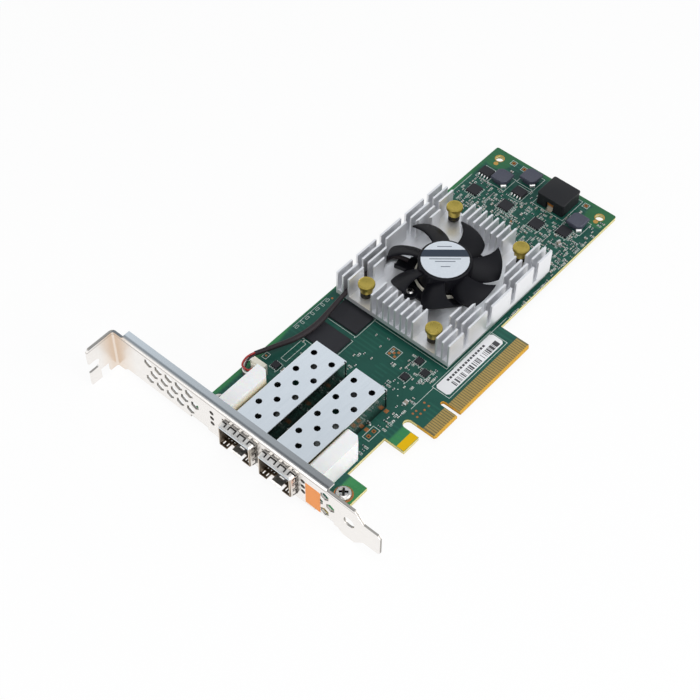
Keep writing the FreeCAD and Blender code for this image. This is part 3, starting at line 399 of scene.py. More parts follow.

# %% [markdown]
# Sheet metal on the card comes in four kinds. The bracket is tin plated steel and comes after the
# others. The cages are nickel plated and cooler, with painted shade that darkens their walls towards
# the board and a warm painted shade inside the mouth. The collars are thin spring sheet with a warm
# cast. Solder tails and chip leads are plain tin. Rolling leaves a grain along the sheet, so the noise
# is drawn out that way.

# %% Sheet metals
def cage_finish():
    """Bright nickel on the roof, with painted shade down the walls and warm painted shade in the mouth."""
    finish, tree, place = new_finish("nickel_plated_cage_sheet", Metallic=1.0)
    axis = add(tree, "SeparateXYZ", place).outputs
    drawn = add(tree, "Mapping", place, Scale=(0.12, 1.0, 1.0))
    noise = add(tree, "TexNoise", drawn, per_mm(1.0), 4.0)
    roof = add(tree, "Mix", noise, "#e2e7ec", "#eef2f6", data_type="RGBA")
    # painted shade: the walls turn darker towards the board
    shade_by_height = add(tree, "MapRange", axis["Z"], mm(0.5), mm(5.5))
    wall = add(tree, "Mix", shade_by_height, "#666864", "#d2d6d3", data_type="RGBA")
    # painted shade: inside the mouth the walls are warm and darker towards the board
    warm = add(tree, "Mix", shade_by_height, "#84735f", "#d9cdbd", data_type="RGBA")
    mouth = add(tree, "MapRange", axis["X"], mm(-56.0), mm(-58.0))
    colour = add(tree, "Mix", mouth, wall, warm, data_type="RGBA")
    high = add(tree, "Math", axis["Z"], mm(9.3), operation="GREATER_THAN")
    colour = add(tree, "Mix", high, colour, roof, data_type="RGBA")
    gloss = add(tree, "MapRange", mouth, 0.0, 1.0, 0.19, 0.36)
    return coat(finish, Base_Color=colour, Roughness=gloss)


nickel_sheet = cage_finish()
spring_sheet = grained("nickel_on_copper_spring_sheet", "#e2dcd4", "#f4f1ed", (0.26, 0.36), 2.2, bump=0.03,
                       Metallic=1.0)
tin = grained("matt_tin_plate", "#c6c6c5", "#e8e8e6", (0.28, 0.45), 0.4, bump=0.08, Metallic=1.0)
dress(nickel_sheet, "port_cage_left", "port_cage_right")
dress(spring_sheet, "port_collar_left", "port_collar_right")
dress(tin, "chip_leads")

# %% [markdown]
# The bracket's tin is bright and a little warm on its flat face. Along the folded lip the colour is
# painted grey as painted shade and reflection, darkest where the bend starts and towards the edge
# connector. A thin dark line of painted shade lies in the crease where the bend starts. Holes were
# punched after plating, so their walls and the edges of the tab are bare sheared steel, rough, and
# also painted darker as shade. The finish reads the place to tell these apart.

# %% Bracket finish
sheet_x, tab_edge_y = (-59.15, -58.39), (104.41, 105.13)
# boxes round the bare edges, open where a range ends beyond the bracket
sheared_edges = [{"X": sheet_x, "Y": (-50.0, 103.0), "Z": (-50.0, 12.6)}, {"X": sheet_x, "Y": (-50.0, 6.9)},
                 {"Y": tab_edge_y, "Z": (2.25, 2.65)}, {"Y": tab_edge_y, "Z": (13.9, 50.0)}]


def bracket_finish():
    """Bright tin on the face, duller tin on the lip and bare steel on sheared edges."""
    finish, tree, place = new_finish("tin_plated_steel_sheet", Metallic=1.0)
    axis = add(tree, "SeparateXYZ", place).outputs
    drawn = add(tree, "Mapping", place, Scale=(1.0, 0.12, 1.0))
    noise = add(tree, "TexNoise", drawn, per_mm(1.2), 4.0)
    bright = add(tree, "Mix", noise, "#f0ece8", "#f8f5f2", data_type="RGBA")
    near_tab = add(tree, "MapRange", axis["Y"], mm(94.0), mm(103.0), 0.0, 0.75)
    near_fold = add(tree, "MapRange", axis["X"], mm(-66.0), mm(-61.0))
    warm = add(tree, "Math", near_tab, near_fold, operation="MULTIPLY")
    bright = add(tree, "Mix", warm, bright, "#ead8c6", data_type="RGBA")
    # painted shade and reflection: the lip is grey, darker towards the edge connector and near the start of
    # the bend
    along = add(tree, "MapRange", axis["Y"], mm(10.0), mm(100.0))
    lip_shade = add(tree, "Mix", along, "#a3a4a5", "#d9dfe4", data_type="RGBA")
    bend_start_shade = add(tree, "MapRange", axis["X"], mm(-58.5), mm(-57.3), 0.25, 1.0)
    lip_shade = add(tree, "Mix", bend_start_shade, "#3c3e40", lip_shade, data_type="RGBA")
    on_lip = add(tree, "MapRange", axis["Z"], mm(13.7), mm(14.2))
    colour = add(tree, "Mix", on_lip, bright, lip_shade, data_type="RGBA")
    # painted shade: a thin dark line in the crease of the bend
    bend_crease_shade = within(tree, axis, 0.55, Z=(12.89, 13.21))
    colour = add(tree, "Mix", bend_crease_shade, colour, "#6f6660", data_type="RGBA")
    # bare sheared steel, dull in itself, and painted darker as shade on the walls of the holes
    bare = 0.0
    for ranges in sheared_edges:
        bare = add(tree, "Math", bare, within(tree, axis, 1.0, **ranges), operation="MAXIMUM")
    colour = add(tree, "Mix", bare, colour, "#a5a19c", data_type="RGBA")
    gloss = add(tree, "MapRange", noise, 0.0, 1.0, 0.22, 0.28)
    gloss = add(tree, "Math", bare, 0.3, gloss, operation="MULTIPLY_ADD")
    return coat(finish, Base_Color=colour, Roughness=gloss)


dress(bracket_finish(), "slot_bracket")

# %% [markdown]
# The heat sink is an aluminium extrusion with slots milled across it. Extruding draws long fine
# lines along the fins, and milling leaves the ends bright. The lines are stretched noise, drawn
# 0.25 mm apart, coarser than the real ones so that they show. The push pins are turned brass that
# has dulled, and their springs are dark oiled wire.

# %% Aluminium and brass
aluminium = grained("extruded_aluminium", "#e2e3e6", "#f3f3f5", (0.34, 0.48), 0.25, (0.05, 1.0, 1.0),
                    bump=0.10, Metallic=0.8)
brass = grained("turned_brass_dull_with_age", "#a28f42", "#c4ae5c", (0.26, 0.40), 0.5, bump=0.06,
                Metallic=1.0)
spring_steel = grained("oiled_spring_wire", "#2b2a29", "#4a4744", (0.30, 0.45), 0.6, bump=0.05, Metallic=1.0)
dress(aluminium, "heat_sink")
dress(brass, "push_pins")
dress(spring_steel, "pin_springs")

# %% [markdown]
# Screws and the fan's shaft are steel, the bearing is porous bronze, and the motor has steel
# laminations, enamelled copper and a ferrite ring. Little of the motor shows between the blades,
# but the part is looked at from every side, so each has its own finish.

# %% Motor metals
nickel_screw = grained("nickel_plated_screw_steel", "#a9a7a6", "#d2cfcc", (0.20, 0.34), 0.5, bump=0.05,
                       Metallic=1.0)
ground_steel = grained("ground_steel_shaft", "#b4b6b8", "#d0d2d4", (0.12, 0.22), 0.3, (1.0, 1.0, 6.0),
                       bump=0.03, Metallic=1.0)
bronze = grained("sintered_bronze", "#7a5a34", "#a77f4c", (0.45, 0.62), 0.15, bump=0.25, Metallic=1.0)
laminations = grained("varnished_steel_laminations", "#5c5d60", "#7e7f82", (0.35, 0.5), 0.35, (1.0, 1.0, 9.0),
                      bump=0.2, Metallic=1.0)
copper_wire = grained("enamelled_copper_wire", "#8a4a22", "#c87b44", (0.22, 0.34), 0.3, (1.0, 1.0, 5.0),
                      bump=0.3, Metallic=1.0, Coat_Weight=0.4)
ferrite_ring = grained("bonded_ferrite_ring", "#232325", "#36363a", (0.5, 0.65), 0.3, bump=0.2, IOR=1.9)
dress(nickel_screw, "bracket_screws")
dress(ground_steel, "fan_shaft")
dress(bronze, "fan_bearing")
dress(laminations, "fan_stator")
dress(copper_wire, "fan_windings")
dress(ferrite_ring, "fan_magnet")

# %% [markdown]
# The black parts are not one black. Chip bodies are epoxy filled with silica, dark grey and matt.
# The fan is glass filled polyester, blacker, with a faint sparkle. The receptacles are a smooth
# liquid crystal polymer. The ferrite of the inductors is dark grey with a blue cast.

# %% Dark mouldings
chip_epoxy = grained("silica_filled_epoxy", "#1c1c20", "#2b2b30", (0.45, 0.6), 0.25, bump=0.18, IOR=1.45,
                     Specular_IOR_Level=0.35)
fan_polyester = grained("glass_filled_polyester_black", "#08080c", "#121218", (0.36, 0.5), 0.35, bump=0.25,
                        IOR=1.45, Specular_IOR_Level=0.18)
receptacle_polymer = grained("liquid_crystal_polymer_black", "#141416", "#202024", (0.3, 0.42), 0.4, IOR=1.6)
choke_ferrite = grained("pressed_ferrite_powder", "#0e0e11", "#1a1b1f", (0.42, 0.55), 0.35, bump=0.2,
                        IOR=1.45, Specular_IOR_Level=0.4)
drum_ferrite = grained("lacquered_ferrite_drum", "#383a48", "#4e505e", (0.35, 0.5), 0.5, bump=0.15, IOR=1.5)
dress(chip_epoxy, "controller_chip", "leaded_chips", "flat_chips", "small_chips", "memory_chip_1",
      "memory_chip_2")
dress(fan_polyester, "fan_base", "fan_impeller")
dress(receptacle_polymer, "port_socket_left", "port_socket_right")
dress(choke_ferrite, "power_choke")
dress(drum_ferrite, "drum_inductors")

# %% [markdown]
# The pale parts are the nylon plug and header, the clear lamps, the thermal pad and the motor's own
# small green board. Each is a moulding or a sheet with little grain. The light pipes come later,
# with their shape.

# %% Pale mouldings
ivory_nylon = grained("ivory_nylon", "#ddd8c8", "#ece8da", (0.4, 0.52), 0.8, bump=0.06, IOR=1.53)
lamp_lens = grained("clear_epoxy_lens", "#d7dcc9", "#eef0e2", (0.12, 0.2), 0.4, bump=0.03, IOR=1.5)
silicone_pad = grained("grey_silicone_pad", "#8b9096", "#a2a7ac", (0.6, 0.75), 0.3, bump=0.2, IOR=1.42)
motor_board = grained("small_green_laminate", "#1d5a3b", "#2c7a50", (0.35, 0.5), 1.2, bump=0.1, IOR=1.52)
dress(ivory_nylon, "fan_plug", "fan_header")
dress(lamp_lens, "status_lamps")
dress(silicone_pad, "thermal_pad")
dress(motor_board, "fan_board")

# %% [markdown]
# Chip capacitors are fired ceramic, tan to brown, and chip resistors are black glass on white
# ceramic. The label on the ports is a printed orange film.

# %% Ceramic and film
tan_ceramic = grained("fired_barium_ceramic", "#81766a", "#a3988a", (0.35, 0.5), 0.4, bump=0.1, IOR=1.7)
black_glaze = grained("black_glass_glaze", "#161618", "#26262a", (0.2, 0.32), 0.4, bump=0.05, IOR=1.5)
orange_label = grained("orange_printed_film", "#e98a3c", "#f29c4e", (0.42, 0.55), 0.6, bump=0.04, IOR=1.48)
dress(tan_ceramic, "chip_capacitors")
dress(black_glaze, "chip_resistors")
dress(orange_label, "port_label")

# %% [markdown]
# The serial label is coated paper with a row of bars. The bars are a generic pattern: the length is
# cut into strips of 0.24 mm, and a fixed noise makes each strip dark or leaves it white. A row of
# plain dashes of 1 mm runs above the bars. The fan's label is silver foil with one dark printed band
# across it, above the middle, and thin grey rules.

# %% Printed labels
bar_w, dash_w, dash_pitch = 0.24, 1.0, 1.4
fan_x, fan_y, hub_top = 40.6, 39.9, 14.6


def barred_paper():
    """White paper with dark bars along part of its lower half and a row of dashes above them."""
    finish, tree, place = new_finish("coated_white_paper_with_bars", IOR=1.45, Roughness=0.55)
    axis = add(tree, "SeparateXYZ", place).outputs
    strip = add(tree, "Math", axis["X"], mm(bar_w), operation="SNAP")
    count = add(tree, "Math", strip, per_mm(bar_w), operation="MULTIPLY")
    chance = add(tree, "TexWhiteNoise", count, noise_dimensions="1D")
    bar = add(tree, "Math", chance, 0.5, operation="GREATER_THAN")
    bar = within(tree, axis, bar, X=(8.4, 33.2), Y=(8.1, 10.5))
    step = add(tree, "Math", axis["X"], mm(dash_pitch), operation="FLOORED_MODULO")
    dash = add(tree, "Math", step, mm(dash_w), operation="LESS_THAN")
    dash = within(tree, axis, dash, X=(8.4, 29.2), Y=(11.5, 12.4))
    printed = add(tree, "Math", bar, dash, operation="MAXIMUM")
    colour = add(tree, "Mix", printed, "#e4e4e6", "#3c3c40", data_type="RGBA")
    return coat(finish, Base_Color=colour)


def banded_foil():
    """Silver foil with a dark band 1.2 to 4.6 mm from the middle of the hub and thin grey rules."""
    finish, tree, place = new_finish("silver_foil_with_printed_band", Metallic=0.3, Roughness=0.4)
    from_hub = add(tree, "VectorMath", place, mm(fan_x, fan_y, hub_top), operation="SUBTRACT")
    axis = {side: add(tree, "VectorMath", from_hub, way, operation="DOT_PRODUCT")
            for side, way in (("up", (0.753, 0.658, 0.0)), ("across", (-0.658, 0.753, 0.0)))}
    grain = add(tree, "TexNoise", place, per_mm(0.6))
    foil = add(tree, "Mix", grain, "#d3dae2", "#e3e8ee", data_type="RGBA")
    band = within(tree, axis, 1.0, up=(1.2, 4.6))
    printed = add(tree, "Mix", band, foil, "#2c3746", data_type="RGBA")
    rules = 0.0
    for height, half in ((0.2, 5.6), (-1.0, 3.6), (-3.4, 1.7), (6.1, 2.6)):
        rule = within(tree, axis, 1.0, up=(height - 0.2, height + 0.2), across=(-half, half))
        rules = add(tree, "Math", rules, rule, operation="MAXIMUM")
    colour = add(tree, "Mix", rules, printed, "#727a84", data_type="RGBA")
    return coat(finish, Base_Color=colour)


dress(barred_paper(), "serial_label")
dress(banded_foil(), "hub_label")

# %% [markdown]
# The fan's lead is a soft black sleeve round three wires. It leaves the fan through the fins and
# lies on the board past the memory chips to a plug. A bent tube would look like wire, so the route's
# points are the control points of one smooth curve, and the bevel gives it its thickness. Where the
# sleeve lies loose over the memory chips it is a little wider.

# %% Fan lead
def cord_curve(name, route, radius, finish, widths=None):
    """A smooth round cord through control points in millimetres, wider where its widths say so."""
    line = bpy.data.curves.new(name, "CURVE")
    line.dimensions = "3D"
    spline = line.splines.new("NURBS")
    spline.points.add(len(route) - 1)
    for point, place, width in zip(spline.points, route, widths or [1.0] * len(route)):
        point.co = (*mm(*place), 1.0)
        point.radius = width
    spline.order_u = 3
    spline.use_endpoint_u = True
    spline.resolution_u = 10
    line.bevel_depth = mm(radius)
    line.bevel_resolution = 4
    line.use_fill_caps = True
    line.materials.append(finish)
    made = bpy.data.objects.new(name, line)
    bpy.context.collection.objects.link(made)
    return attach(made, "card")


black_sleeve = grained("shrunk_black_sleeve", "#1f1a1c", "#322b2e", (0.5, 0.62), 0.35, bump=0.3, IOR=1.45,
                       Specular_IOR_Level=0.3)
lead_route = [(38.134, 53.884, 5.45), (37.370, 58.217, 5.45), (34.770, 60.9, 5.50), (27.770, 61.12, 5.75),
              (15.0, 61.08, 6.45), (5.0, 61.0, 4.1), (-4.4, 60.3, 2.75), (-13.9, 61.9, 2.5),
              (-20.9, 64.95, 2.7), (-28.2, 67.8, 3.1)]
lead_widths = [1.0, 1.0, 1.0, 1.0, 1.0, 1.1, 1.4, 1.25, 1.05, 1.0]
sleeve_r = 0.85
fan_sleeve = cord_curve("fan_lead_sleeve", lead_route, sleeve_r, black_sleeve, lead_widths)
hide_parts("fan_lead")
print("lead with", len(lead_route), "control points")

# %% [markdown]
# At the header the sleeve ends and the three wires loop round into the plug: red for the supply,
# black for ground and white for the speed signal. They are short, and are made as the sleeve is.

# %% Fan wires
wire_r = 0.38
wires = {
    "red": ("#8f1f1c", "#b02b26", [(-28.178, 67.791, 3.569), (-30.596, 68.736, 3.702), (-34.8, 67.8, 3.8),
                                   (-35.7, 66.0, 3.8), (-34.8, 64.2, 2.7), (-33.2, 64.2, 2.7)]),
    "white": ("#d8d5cf", "#eceae5", [(-28.063, 68.184, 2.865), (-30.482, 69.128, 2.998), (-35.1, 67.2, 2.7),
                                     (-36.5, 65.075, 2.7), (-35.1, 62.95, 2.7), (-33.2, 62.95, 2.7)]),
    "black": ("#161517", "#232124", [(-28.359, 67.425, 2.865), (-30.778, 68.37, 2.998), (-35.4, 66.6, 1.6),
                                     (-37.3, 64.15, 1.6), (-35.4, 61.7, 2.7), (-33.2, 61.7, 2.7)]),
}
for colour, (low, high, route) in wires.items():
    vinyl = grained(colour + "_vinyl_insulation", low, high, (0.35, 0.45), 0.6, bump=0.05, IOR=1.53)
    cord_curve("wire_" + colour, route, wire_r, vinyl)
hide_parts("fan_wires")

# %% [markdown]
# The pieces below are modelled as by hand: a primitive is added at its size and place, and operators
# shape it. The impeller is one moulding, a cup that covers the motor and seven swept blades. The cup
# is a disc extruded and resized ring by ring, from its inner ceiling down, round the rim and up to
# its top, as a lathe would turn it. Round pieces are made once on the Z axis and copied to their
# places, each copy with its own mesh.

# %% Impeller hub
def turned(rings, sides):
    """A round piece on the Z axis: a disc, extruded and resized through rings of radius and height."""
    (radius, height), *others = rings
    bpy.ops.object.select_all(action="DESELECT")
    bpy.ops.mesh.primitive_circle_add(vertices=sides, radius=mm(radius), fill_type="NGON",
                                      location=mm(0, 0, height))
    bpy.ops.object.transform_apply(location=True)
    bpy.ops.object.mode_set(mode="EDIT")
    bpy.ops.mesh.select_mode(type="FACE")
    bpy.ops.mesh.select_all(action="SELECT")
    for next_radius, next_height in others:
        bpy.ops.mesh.extrude_region_move(TRANSFORM_OT_translate={"value": mm(0, 0, next_height - height)})
        grow = next_radius / radius
        bpy.ops.transform.resize(value=(grow, grow, 1.0), center_override=mm(0, 0, next_height))
        radius, height = next_radius, next_height
    bpy.ops.object.mode_set(mode="OBJECT")
    return bpy.context.object


def joined(parts):
    """Several objects as one, with their places in the mesh."""
    bpy.ops.object.select_all(action="DESELECT")
    for part in parts:
        part.select_set(True)
    bpy.context.view_layer.objects.active = parts[0]
    if len(parts) > 1:
        bpy.ops.object.join()
    bpy.ops.object.transform_apply(location=True, rotation=True, scale=True)
    return bpy.context.object


def copies(master, places):
    """The piece at each (x, y) or (x, y, turn in degrees), joined into one."""
    parts = []
    for x, y, *turn in places:
        part = master.copy()
        part.data = master.data.copy()
        bpy.context.collection.objects.link(part)
        part.matrix_world = Matrix.Translation(mm(x, y, 0)) @ Matrix.Rotation(math.radians(sum(turn)), 4, "Z")
        parts.append(part)
    bpy.data.objects.remove(master)
    return joined(parts)


hub_rings = [(9.0, 13.5), (9.0, 7.1), (9.7, 7.1), (9.7, 13.9), (9.6, 14.2), (9.35, 14.42), (9.1, 14.5)]
hub = copies(turned(hub_rings, 72), [(fan_x, fan_y)])
print("hub with", len(hub.data.polygons), "faces")

# %% [markdown]
# A blade is a grid bent over the hub and given a wall. Its points are moved in code, because sweep,
# pitch and bow all change along the blade, and one formula holds them together better than many
# turns by hand. Hub and blades become one piece. Every finished piece has its mesh closed and its
# edges smoothed, and is handed to the body that it rides.

# %% Impeller blades
def finished(piece, name, finish, body="card", replaces=(), smooth=35):
    """Closes the mesh, smooths edges below an angle, and gives it its name, finish and body."""
    bpy.ops.object.select_all(action="DESELECT")
    piece.select_set(True)
    bpy.context.view_layer.objects.active = piece
    bpy.ops.object.mode_set(mode="EDIT")
    bpy.ops.mesh.select_all(action="SELECT")
    bpy.ops.mesh.remove_doubles(threshold=mm(0.0005))
    bpy.ops.mesh.normals_make_consistent(inside=False)
    bpy.ops.object.mode_set(mode="OBJECT")
    bpy.ops.object.shade_smooth_by_angle(angle=math.radians(smooth))
    piece.name = piece.data.name = name
    if finish:
        piece.data.materials.clear()
        piece.data.materials.append(finish)
    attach(piece, body)
    if replaces:
        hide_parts(*replaces)
    print(name, "with", len(piece.data.polygons), "faces")
    return piece


blade_count = 7
blade_root_r, blade_tip_r = 9.35, 20.4
blade_low_z, blade_high_z, blade_t = 7.9, 13.6, 0.9
trail_angle, trail_sweep, trail_hollow = -25.0, 17.0, 2.0
lead_angle, lead_sweep, lead_hollow = 14.0, 9.0, 4.0
blade_bow, tip_clip = 3.2, 0.10

bpy.ops.object.select_all(action="DESELECT")
bpy.ops.mesh.primitive_grid_add(x_subdivisions=12, y_subdivisions=10, size=1.0)
blade = bpy.context.object
for point in blade.data.vertices:
    out, across = point.co.x + 0.5, point.co.y + 0.5
    hollow = 4 * out * (1 - out)
    trailing = trail_angle + trail_sweep * out - trail_hollow * hollow
    leading = lead_angle + lead_sweep * out - lead_hollow * hollow
    angle = math.radians(trailing + (leading - trailing) * across)
    reach = blade_root_r + (blade_tip_r - blade_root_r) * out * (1 - tip_clip * (1 - across) ** 4)
    height = blade_low_z + (blade_high_z - blade_t - blade_low_z) * across + blade_bow * across * (1 - across)
    point.co = mm(reach * math.cos(angle), reach * math.sin(angle), height)
wall = blade.modifiers.new("wall", "SOLIDIFY")
wall.thickness = mm(blade_t)
wall.offset = 1.0
soften = blade.modifiers.new("soften", "BEVEL")
soften.width = mm(0.18)
soften.segments = 2
soften.angle_limit = math.radians(50)
for modifier in ("wall", "soften"):
    bpy.ops.object.modifier_apply(modifier=modifier)
blades = copies(blade, [(fan_x, fan_y, i * 360 / blade_count) for i in range(blade_count)])
impeller = finished(joined([hub, blades]), "smooth_impeller", fan_polyester, "rotor", ["fan_impeller"])
print("impeller top at", round(max(v.co.z for v in impeller.data.vertices) * 1000, 2), "mm")

# %% [markdown]
# Between the left-hand blades the fan's base shows. A moulded trough guides the lead out to the
# fins. It is two blocks with their upright corners bevelled. Edges are picked by where their ends
# are, because a click on them can't be written down.

# %% Lead trough
def block(low, high):
    """A cube between two corners in millimetres, with its size and place in its mesh."""
    bpy.ops.object.select_all(action="DESELECT")
    bpy.ops.mesh.primitive_cube_add(size=1.0)
    made = bpy.context.object
    made.location = mm(*[(a + b) / 2 for a, b in zip(low, high)])
    made.scale = mm(*[b - a for a, b in zip(low, high)])
    bpy.ops.object.transform_apply(location=True, rotation=True, scale=True)
    return made


def bevelled(test, radius, segments):
    """Rounds those edges of the active piece whose two ends pass the test."""
    bpy.ops.object.mode_set(mode="EDIT")
    bpy.ops.mesh.select_mode(type="EDGE")
    bpy.ops.mesh.select_all(action="DESELECT")
    bpy.ops.object.mode_set(mode="OBJECT")
    mesh = bpy.context.object.data
    for edge in mesh.edges:
        edge.select = test(*(mesh.vertices[i].co * 1000 for i in edge.vertices))
    bpy.ops.object.mode_set(mode="EDIT")
    bpy.ops.mesh.bevel(offset=mm(radius), segments=segments, affect="EDGES")
    bpy.ops.object.mode_set(mode="OBJECT")


def upright(a, b):
    """True for an edge that stands up."""
    return abs(a.z - b.z) > 0.005


def rounded(piece, radius):
    """Rounds the upright corners of a flat block."""
    bpy.context.view_layer.objects.active = piece
    bevelled(upright, radius, 2)
    return piece


trough = joined([block((-3.9, 12.8, 4.62), (-0.1, 18.0, 5.45)), block((-3.9, 10.2, 5.4), (-3.2, 18.0, 6.4))])
trough = copies(rounded(trough, 0.2), [(fan_x, fan_y, 13.6)])
print("trough with", len(trough.data.polygons), "faces")

# %% [markdown]
# Two ears of the fan's base are screwed to the heat sink, and an ivory ring insulates the motor's
# foot. All of them stay below the blades. Ears, screws and ring are turned, and the ring's hole is
# cut with the Boolean modifier.

# %% Fan base
def cut_away(piece, cutters):
    """Takes the cutters out of the piece with the Boolean modifier and removes them."""
    for cutter in cutters:
        bpy.context.view_layer.objects.active = piece
        cut = piece.modifiers.new("cut", "BOOLEAN")
        cut.object = cutter
        bpy.ops.object.modifier_apply(modifier="cut")
        bpy.data.objects.remove(cutter)
    return piece


ear_places = [(26.9, 44.2), (54.3, 35.6)]
ears = copies(turned([(3.0, 4.62), (3.0, 5.75), (2.75, 5.95)], 24), ear_places)
finished(joined([trough, ears]), "fan_base_ears", fan_polyester)
screws = copies(turned([(1.35, 5.9), (1.35, 6.25), (0.9, 6.6)], 16), ear_places)
finished(screws, "fan_base_screws", nickel_screw)
ring_core = copies(turned([(10.1, 5.0), (10.1, 7.5)], 72), [(fan_x, fan_y)])
foot_ring = copies(turned([(10.7, 5.6), (10.7, 6.9)], 72), [(fan_x, fan_y)])
finished(cut_away(foot_ring, [ring_core]), "fan_foot_ring", ivory_nylon)

# %% [markdown]
# The heat sink is held by four push pins: a brass head with a shallow dish, a shank, and a barb
# that snaps under the board. They were turned on a lathe, so a profile of rings gives them. One
# pin is made and copied to the four corners.

# %% Push pins
pin_head_r = 3.1
pin_low, pin_high = [corner * 1000 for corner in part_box("push_pins")]
pin_places = [(x, y) for x in (pin_low.x + pin_head_r, pin_high.x - pin_head_r)
              for y in (pin_low.y + pin_head_r, pin_high.y - pin_head_r)]
top = pin_high.z
pin_rings = [(0.9, -3.87), (2.0, -1.95), (2.0, -1.67), (1.4, -1.67), (1.4, top - 4.1), (2.3, top - 4.05),
             (2.3, top - 1.9), (2.6, top - 1.75), (pin_head_r, top - 1.2), (pin_head_r, top - 0.4),
             (2.95, top - 0.12), (2.65, top), (2.2, top - 0.06), (0.4, top - 0.25)]

pins = copies(turned(pin_rings, 32), pin_places)
finished(pins, "turned_push_pins", brass, replaces=["push_pins"])

# %% [markdown]
# A coil spring under each head presses the heat sink down. A coil is a small circle swept round an
# axis while it climbs, which is what the Screw modifier does. The open ends are then filled.

# %% Pin springs
spring_r, spring_wire_r, wire_sides = 1.9, 0.27, 8
spring_low_z, spring_turns = 4.88, 3
spring_pitch = (top - 4.4 - spring_low_z) / spring_turns

bpy.ops.object.select_all(action="DESELECT")
bpy.ops.mesh.primitive_circle_add(vertices=wire_sides, radius=mm(spring_wire_r), rotation=(math.pi / 2, 0, 0),
                                  location=mm(spring_r, 0.0, spring_low_z))
bpy.ops.object.transform_apply(location=True, rotation=True)
spring = bpy.context.object
coil = spring.modifiers.new("coil", "SCREW")
coil.screw_offset = mm(spring_pitch)
coil.iterations = spring_turns
coil.steps = coil.render_steps = 18
bpy.ops.object.modifier_apply(modifier="coil")
bpy.ops.object.mode_set(mode="EDIT")
bpy.ops.mesh.select_all(action="SELECT")
bpy.ops.mesh.fill_holes(sides=wire_sides)
bpy.ops.object.mode_set(mode="OBJECT")
springs = copies(spring, pin_places)
finished(springs, "coiled_pin_springs", spring_steel, replaces=["pin_springs"])

# %% [markdown]
# Two pan head screws hold the bracket's feet. The head is turned, and its cross recess is cut with
# two crossed blocks through the Boolean modifier, which keeps the recess square at its corners. The
# recess walls get the dark oiled finish as painted shade.

# %% Bracket screws
foot_x, foot_front_y, foot_back_y = -49.74, 8.15, 64.4
recess_long, recess_wide, recess_low = 1.6, 0.42, 0.3
screw_low_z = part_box("bracket_screws")[0].z * 1000
screw_rings = [(1.1, screw_low_z), (1.45, screw_low_z + 0.35), (1.45, 0.02), (2.8, 0.02), (2.8, 0.55),
               (2.7, 0.95), (2.4, 1.35), (1.8, 1.62), (1.0, 1.7)]

screw = turned(screw_rings, 40)
cut_away(screw, [block((-x, -y, recess_low), (x, y, 2.5))
                 for x, y in ((recess_long, recess_wide), (recess_wide, recess_long))])
screw.data.materials.append(nickel_screw)
screw.data.materials.append(spring_steel)
# painted shade: faces inside the cross recess get the dark oiled finish
for face in screw.data.polygons:
    middle = face.center * 1000
    shaded_recess = middle.z > recess_low - 0.05 and middle.xy.length < recess_long - 0.05 and face.area < 4e-6
    face.material_index = int(shaded_recess and (abs(face.normal.z) < 0.1 or middle.z < recess_low + 0.05))
screws = copies(screw, [(foot_x, foot_front_y, 38.0), (foot_x, foot_back_y, 12.0)])
finished(screws, "cross_recess_screws", None, replaces=["bracket_screws"])

# %% [markdown]
# Two light pipes carry the lamps' light to the holes in the bracket. They are milky polycarbonate,
# brightest where they are thick, and the rounded edge next to the cage is painted tan as painted shade
# and reflection. The lamps are off, and the ends in the bracket's holes are painted dark as painted
# shade. One finish reads where it lies.

# %% Light pipe finish
def pipe_finish(name, tan_shade_from, tan_shade_to):
    """Milky plastic with painted tan shade between two places along Y, and painted dark shade at the ends in
    the bracket.
    """
    finish, tree, place = new_finish(name, IOR=1.5, Roughness=0.4, Subsurface_Weight=0.15,
                                     Subsurface_Scale=mm(1.0))
    axis = add(tree, "SeparateXYZ", place).outputs
    cloud = add(tree, "TexNoise", place, per_mm(2.5))
    milk = add(tree, "Mix", cloud, "#f3f3f3", "#fafafa", data_type="RGBA")
    # painted shade and reflection: the rounded edge next to the cage turns tan
    warm = add(tree, "MapRange", axis["Y"], mm(tan_shade_from), mm(tan_shade_to))
    colour = add(tree, "Mix", warm, milk, "#b5aa8c", data_type="RGBA")
    # painted shade: the ends in the bracket's holes are dark
    end = add(tree, "Math", axis["X"], mm(-58.3), operation="LESS_THAN")
    colour = add(tree, "Mix", end, colour, "#3b3531", data_type="RGBA")
    print(name, "is warm from", round(tan_shade_from, 2), "to", round(tan_shade_to, 2), "mm")
    return coat(finish, Base_Color=colour)


# %% [markdown]
# The pipes were moulded with round edges so that light stays inside. A CAD node is loose triangles,
# so a free copy of it is merged and its flat faces are made whole. Then the long upper edge can be
# bevelled. The right-hand pipe first has its outer face moved out to the cage.

# %% Light pipes
def cad_copy(name):
    """A free copy of a CAD node with its mesh merged and its flat faces made whole."""
    part = nodes[name].copy()
    part.data = nodes[name].data.copy()
    part.parent = None
    part.hide_viewport = part.hide_render = False
    for key in [key for key in part.keys() if key.startswith("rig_")]:
        del part[key]
    bpy.context.collection.objects.link(part)
    bpy.ops.object.select_all(action="DESELECT")
    part.select_set(True)
    bpy.context.view_layer.objects.active = part
    bpy.ops.object.mode_set(mode="EDIT")
    bpy.ops.mesh.select_all(action="SELECT")
    bpy.ops.mesh.remove_doubles(threshold=mm(0.001))
    bpy.ops.mesh.dissolve_limited(angle_limit=math.radians(0.5))
    bpy.ops.object.mode_set(mode="OBJECT")
    return part


def pick_faces(test):
    """Goes to edit mode with just those faces selected whose middle and normal pass the test."""
    bpy.ops.object.mode_set(mode="EDIT")
    bpy.ops.mesh.select_mode(type="FACE")
    bpy.ops.mesh.select_all(action="DESELECT")
    bpy.ops.object.mode_set(mode="OBJECT")
    for face in bpy.context.object.data.polygons:
        face.select = test(face.center * 1000, face.normal)
    bpy.ops.object.mode_set(mode="EDIT")


